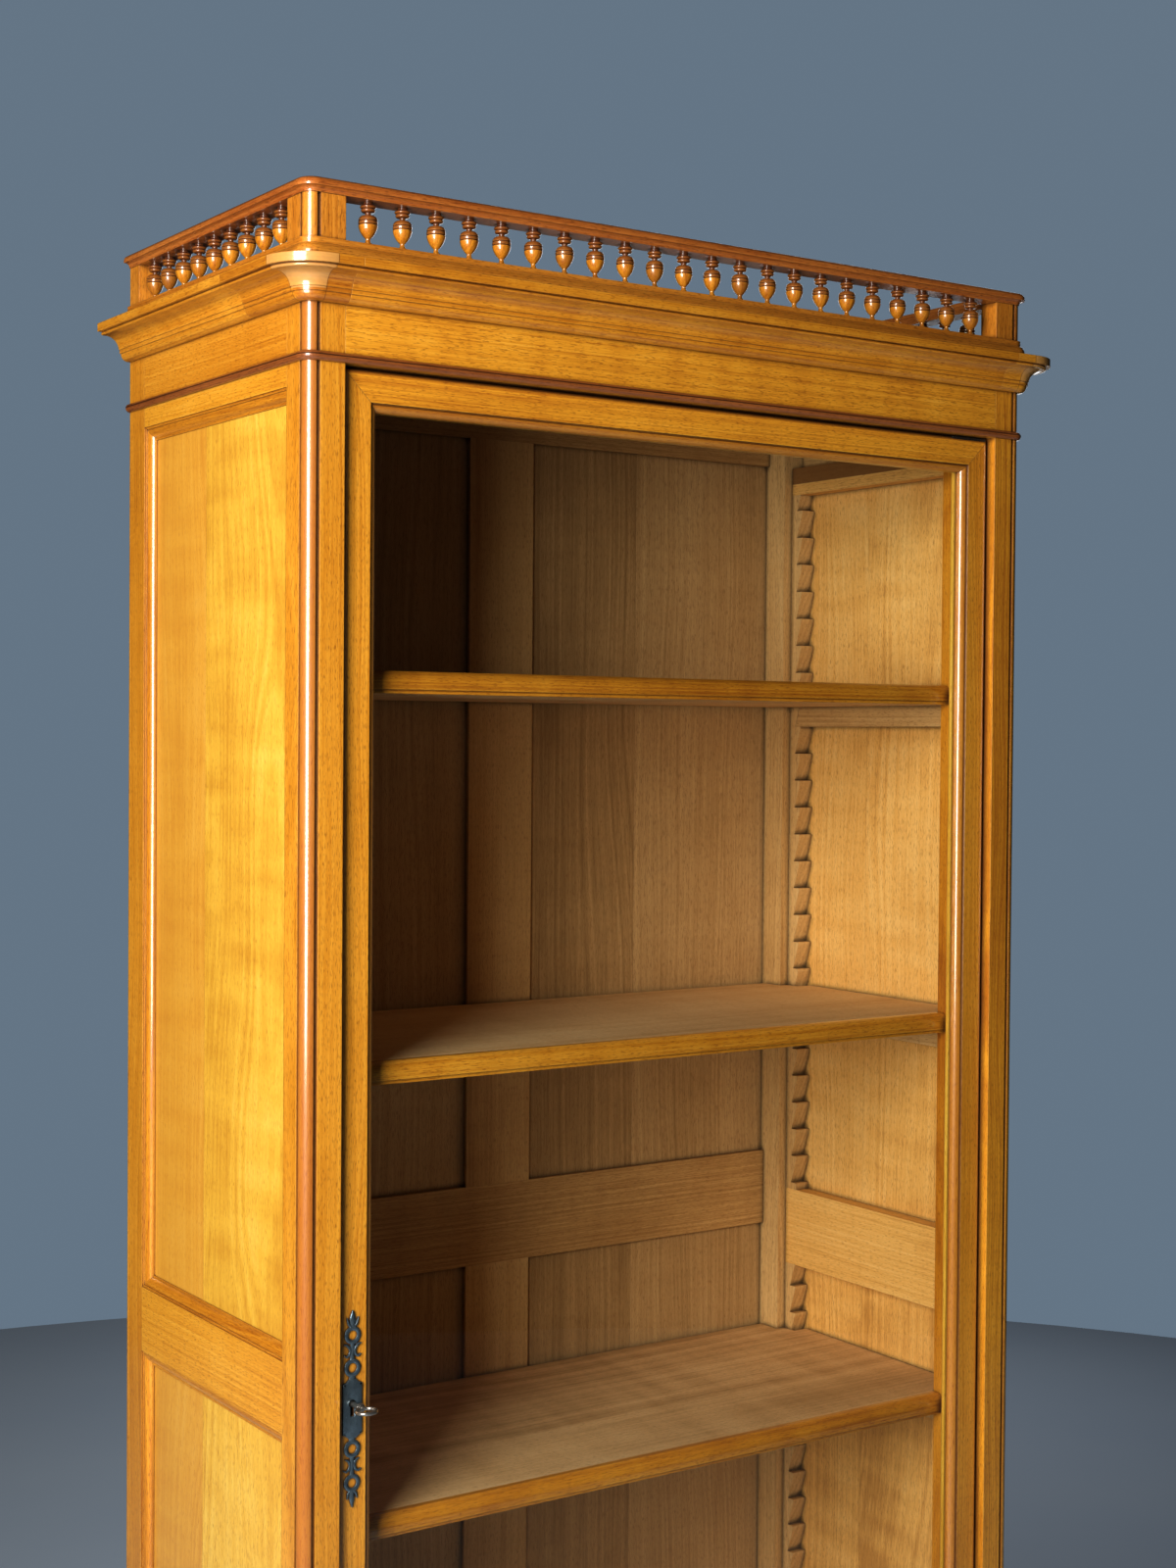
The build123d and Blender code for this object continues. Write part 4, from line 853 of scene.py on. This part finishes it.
for level in ring_levels:
    centre = Vector((lock_x, door_face - iron_thickness / 2, lock_z + level))
    place = Matrix.Translation(centre + Vector((ring_mean, 0, 0)))
    place = place @ Matrix.Diagonal((ring_half, bar_depth / 2, 1, 1))
    section = bmesh.ops.create_circle(casting, segments=10, radius=1, matrix=place)["verts"]
    section_edges = list({edge for vert in section for edge in vert.link_edges})
    bmesh.ops.spin(
        casting, geom=section + section_edges, cent=centre, axis=(0, 1, 0), angle=2 * math.pi,
        steps=ring_steps, use_merge=True, use_duplicate=False,
    )
upper_scroll = [(9.3, 56.8), (6.4, 56.4), (3.4, 53.6), (2.2, 50), (3.2, 46.6), (6, 44.8), (8.8, 46.6)]
lower_scroll = [(7.6, -52.4), (4.8, -53.4), (2.7, -56), (2.1, -59), (3.4, -62.4), (6.4, -64.4), (9.4, -62.6)]
scroll_widths = (0.9, 2.5, 3.1, 3.0, 3.1, 2.5, 0.9)
upper_leaf = [(1.2, 72.6), (4.2, 75.6), (5.2, 78.4), (6.1, 82)]
lower_leaf = [(1.2, -82.4), (4, -85), (4.6, -87.4), (5.3, -90.4)]
leaf_widths = (2.6, 2.8, 2.2, 0.6)
stems = [
    ([(0, 72), (0, 76), (0, 80), (0, 84), (0, 88.8)], (3.4, 5, 6.6, 4.8, 0.6)),
    ([(0, -82), (0, -86), (0, -90), (0, -94), (0, -98.6)], (3.4, 5.4, 6, 4, 0.6)),
    ([(0, 58.5), (0, 50), (0, 41.5)], (5.4, 3.4, 5.4)),
    ([(0, -50), (0, -59), (0, -68.5)], (5.4, 3.4, 5.4)),
    ([(0, 27), (0, 21)], (6, 8)),
    ([(0, -30), (0, -36)], (8, 6)),
]
for side in (-1, 1):
    stems += [([(side * x, z) for x, z in scroll], scroll_widths) for scroll in (upper_scroll, lower_scroll)]
    stems += [([(side * x, z) for x, z in leaf], leaf_widths) for leaf in (upper_leaf, lower_leaf)]
for path, widths in stems:
    cast_bar(casting, [(x / 1000, z / 1000) for x, z in path], [width / 1000 for width in widths])
bmesh.ops.holes_fill(casting, edges=[edge for edge in casting.edges if edge.is_boundary], sides=0)
new_piece("openwork_escutcheon", casting, iron, "door", "old_iron", "escutcheon", smooth=40)


# Key: a forged shank with a collar, an oval bow flattened towards the shank, and a bit that throws
# the bolt. It stands in the lock with the bow lying level.
key_low, key_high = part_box("key")
bow_wire = 0.0019
bow_half_width = lock_x - key_low.x
bow_half_length = 0.0105
bow_middle = Vector((lock_x, key_low.y + bow_half_length, lock_z))
forging = bmesh.new()
place = Matrix.Translation(bow_middle + Vector((bow_half_width - bow_wire, 0, 0)))
place = place @ Matrix.Rotation(math.pi / 2, 4, "X")
section = bmesh.ops.create_circle(forging, segments=12, radius=bow_wire, matrix=place)["verts"]
section_edges = list({edge for vert in section for edge in vert.link_edges})
bmesh.ops.spin(
    forging, geom=section + section_edges, cent=bow_middle, axis=(0, 0, 1), angle=2 * math.pi,
    steps=36, use_merge=True, use_duplicate=False,
)
oval = Vector((1, bow_half_length / bow_half_width, 1))
bmesh.ops.scale(forging, vec=oval, space=Matrix.Translation(-bow_middle), verts=forging.verts)
shank_start = key_low.y + 2 * bow_half_length - 2 * bow_wire
shank_length = key_high.y - shank_start
shank_outline = [
    (0, 0), (0.0022, 0.0003), (0.003, 0.0014), (0.0022, 0.003), (0.0026, 0.0038), (0.0044, 0.0044),
    (0.0046, 0.0056), (0.0044, 0.0066), (0.003, 0.0072), (0.0028, 0.0085),
    (0.0028, shank_length - 0.0012), (0.0022, shank_length), (0, shank_length),
]
ring = [forging.verts.new((lock_x + radius, shank_start + reach, lock_z)) for radius, reach in shank_outline]
edges = [forging.edges.new(pair) for pair in zip(ring, ring[1:])]
bmesh.ops.spin(
    forging, geom=ring + edges, cent=(lock_x, 0, lock_z), axis=(0, 1, 0), angle=2 * math.pi, steps=24,
    use_merge=True, use_duplicate=False,
)
bit_size = Vector((0.0094, 0.0042, 0.0028, 1))
bit_place = Matrix.Translation((lock_x + 0.0048, key_high.y - 0.0022, lock_z))
bit = bmesh.ops.create_cube(forging, size=1, matrix=bit_place @ Matrix.Diagonal(bit_size))["verts"]
bmesh.ops.bevel(
    forging, geom=list({edge for vert in bit for edge in vert.link_edges}), offset=0.0004, segments=2,
    profile=0.5, affect="EDGES", material=-1,
)
new_piece("forged_key", forging, steel, "key", "steel", "key", smooth=40)


# Shelves: one board each, notched round the racks, bare on top and polished along the moulded nose.
nose_back = -0.1385
scrubbed = {
    "dark": stain(186, 148, 100),
    "body": stain(224, 188, 138),
    "pale": stain(236, 206, 160),
    "fleck": stain(160, 120, 76),
    "dirt_and_shade": stain(66, 46, 24),
    "worn": stain(222, 190, 140),
}


def behind_nose(finish):
    """1 on the bare board, 0 on its polished nose."""
    return finish.y > nose_back


for number in range(1, 5):
    shelf = f"shelf_{number}"
    dress(timber(shelf, across, 211 + 7 * number, bareness=behind_nose, figure=0.4, bare=scrubbed), shelf)


# The studio: a pale floor that ends a few metres behind the cabinet, a soft grey beyond it, one tall
# soft light like a window on the left, two weaker ones in front and behind, and the camera where the
# photograph was taken from, at eye height to the left of the door.
eye = Vector((-1.37540, -2.01116, 1.68471))
look_right = math.radians(34.1309)
look_up = math.radians(-1.1767)
tilt = math.radians(0.4213)
focal_pixels = 2238.35
picture_height = 1600
film_height = 36

camera_data = bpy.data.cameras.new("camera")
camera_data.sensor_fit = "VERTICAL"
camera_data.sensor_height = film_height
camera_data.lens = focal_pixels * film_height / picture_height
camera = bpy.data.objects.new("camera", camera_data)
bpy.context.scene.collection.objects.link(camera)
camera.matrix_world = (
    Matrix.Translation(eye)
    @ Matrix.Rotation(-look_right, 4, "Z")
    @ Matrix.Rotation(math.pi / 2 + look_up, 4, "X")
    @ Matrix.Rotation(tilt, 4, "Z")
)
bpy.context.scene.camera = camera

floor_radius = 4.1
floor_mesh = bmesh.new()
bmesh.ops.create_circle(floor_mesh, cap_ends=True, segments=128, radius=floor_radius)
floor_data = bpy.data.meshes.new("floor")
floor_mesh.to_mesh(floor_data)
floor_mesh.free()
floor = bpy.data.objects.new("floor", floor_data)
bpy.context.scene.collection.objects.link(floor)
floor_finish = Finish("floor")
mottle = floor_finish.noise(floor_finish.stretch(floor_finish.place, 2, 2, 2), detail=3)
floor_colour = floor_finish.mix(mottle, stain(206, 222, 240), stain(216, 230, 244))
floor_data.materials.append(floor_finish.done({"Base Color": floor_colour, "Roughness": 0.55}))


def soft_light(name, place, aim, width, height, watts, colour):
    """A rectangular soft light that faces the point it is aimed at."""
    data = bpy.data.lights.new(name, "AREA")
    data.shape = "RECTANGLE"
    data.size = width
    data.size_y = height
    data.energy = watts
    data.color = colour
    light = bpy.data.objects.new(name, data)
    bpy.context.scene.collection.objects.link(light)
    light.location = place
    light.rotation_euler = (Vector(aim) - Vector(place)).to_track_quat("-Z", "Y").to_euler()
    light.visible_camera = False


soft_light("window", (-2.2, -1.45, 1.95), (0, 0, 1.6), 1.0, 1.8, 120, (1.0, 0.97, 0.92))
soft_light("front_fill", (-0.4, -4.4, 2.2), (0, 0, 1.2), 2.0, 2.0, 1.5, (0.93, 0.96, 1.0))
soft_light("back_fill", (2.6, 2.9, 2.6), (0, 0, 1.1), 2.2, 2.2, 34, (0.95, 0.97, 1.0))

world = bpy.data.worlds.new("studio")
bpy.context.scene.world = world
world.use_nodes = True
sky = world.node_tree
seen = sky.nodes.new("ShaderNodeLightPath")
wall = sky.nodes.new("ShaderNodeMix")
wall.data_type = "RGBA"
sky.links.new(seen.outputs["Is Camera Ray"], wall.inputs["Factor"])
find_socket(wall.inputs, "A_Color").default_value = (0.01, 0.011, 0.013, 1)
find_socket(wall.inputs, "B_Color").default_value = (*stain(121, 137, 152), 1)
sky.links.new(find_socket(wall.outputs, "Result_Color"), sky.nodes["Background"].inputs["Color"])
bpy.context.scene.view_settings.view_transform = "Standard"
bpy.context.scene.view_settings.gamma = 0.8
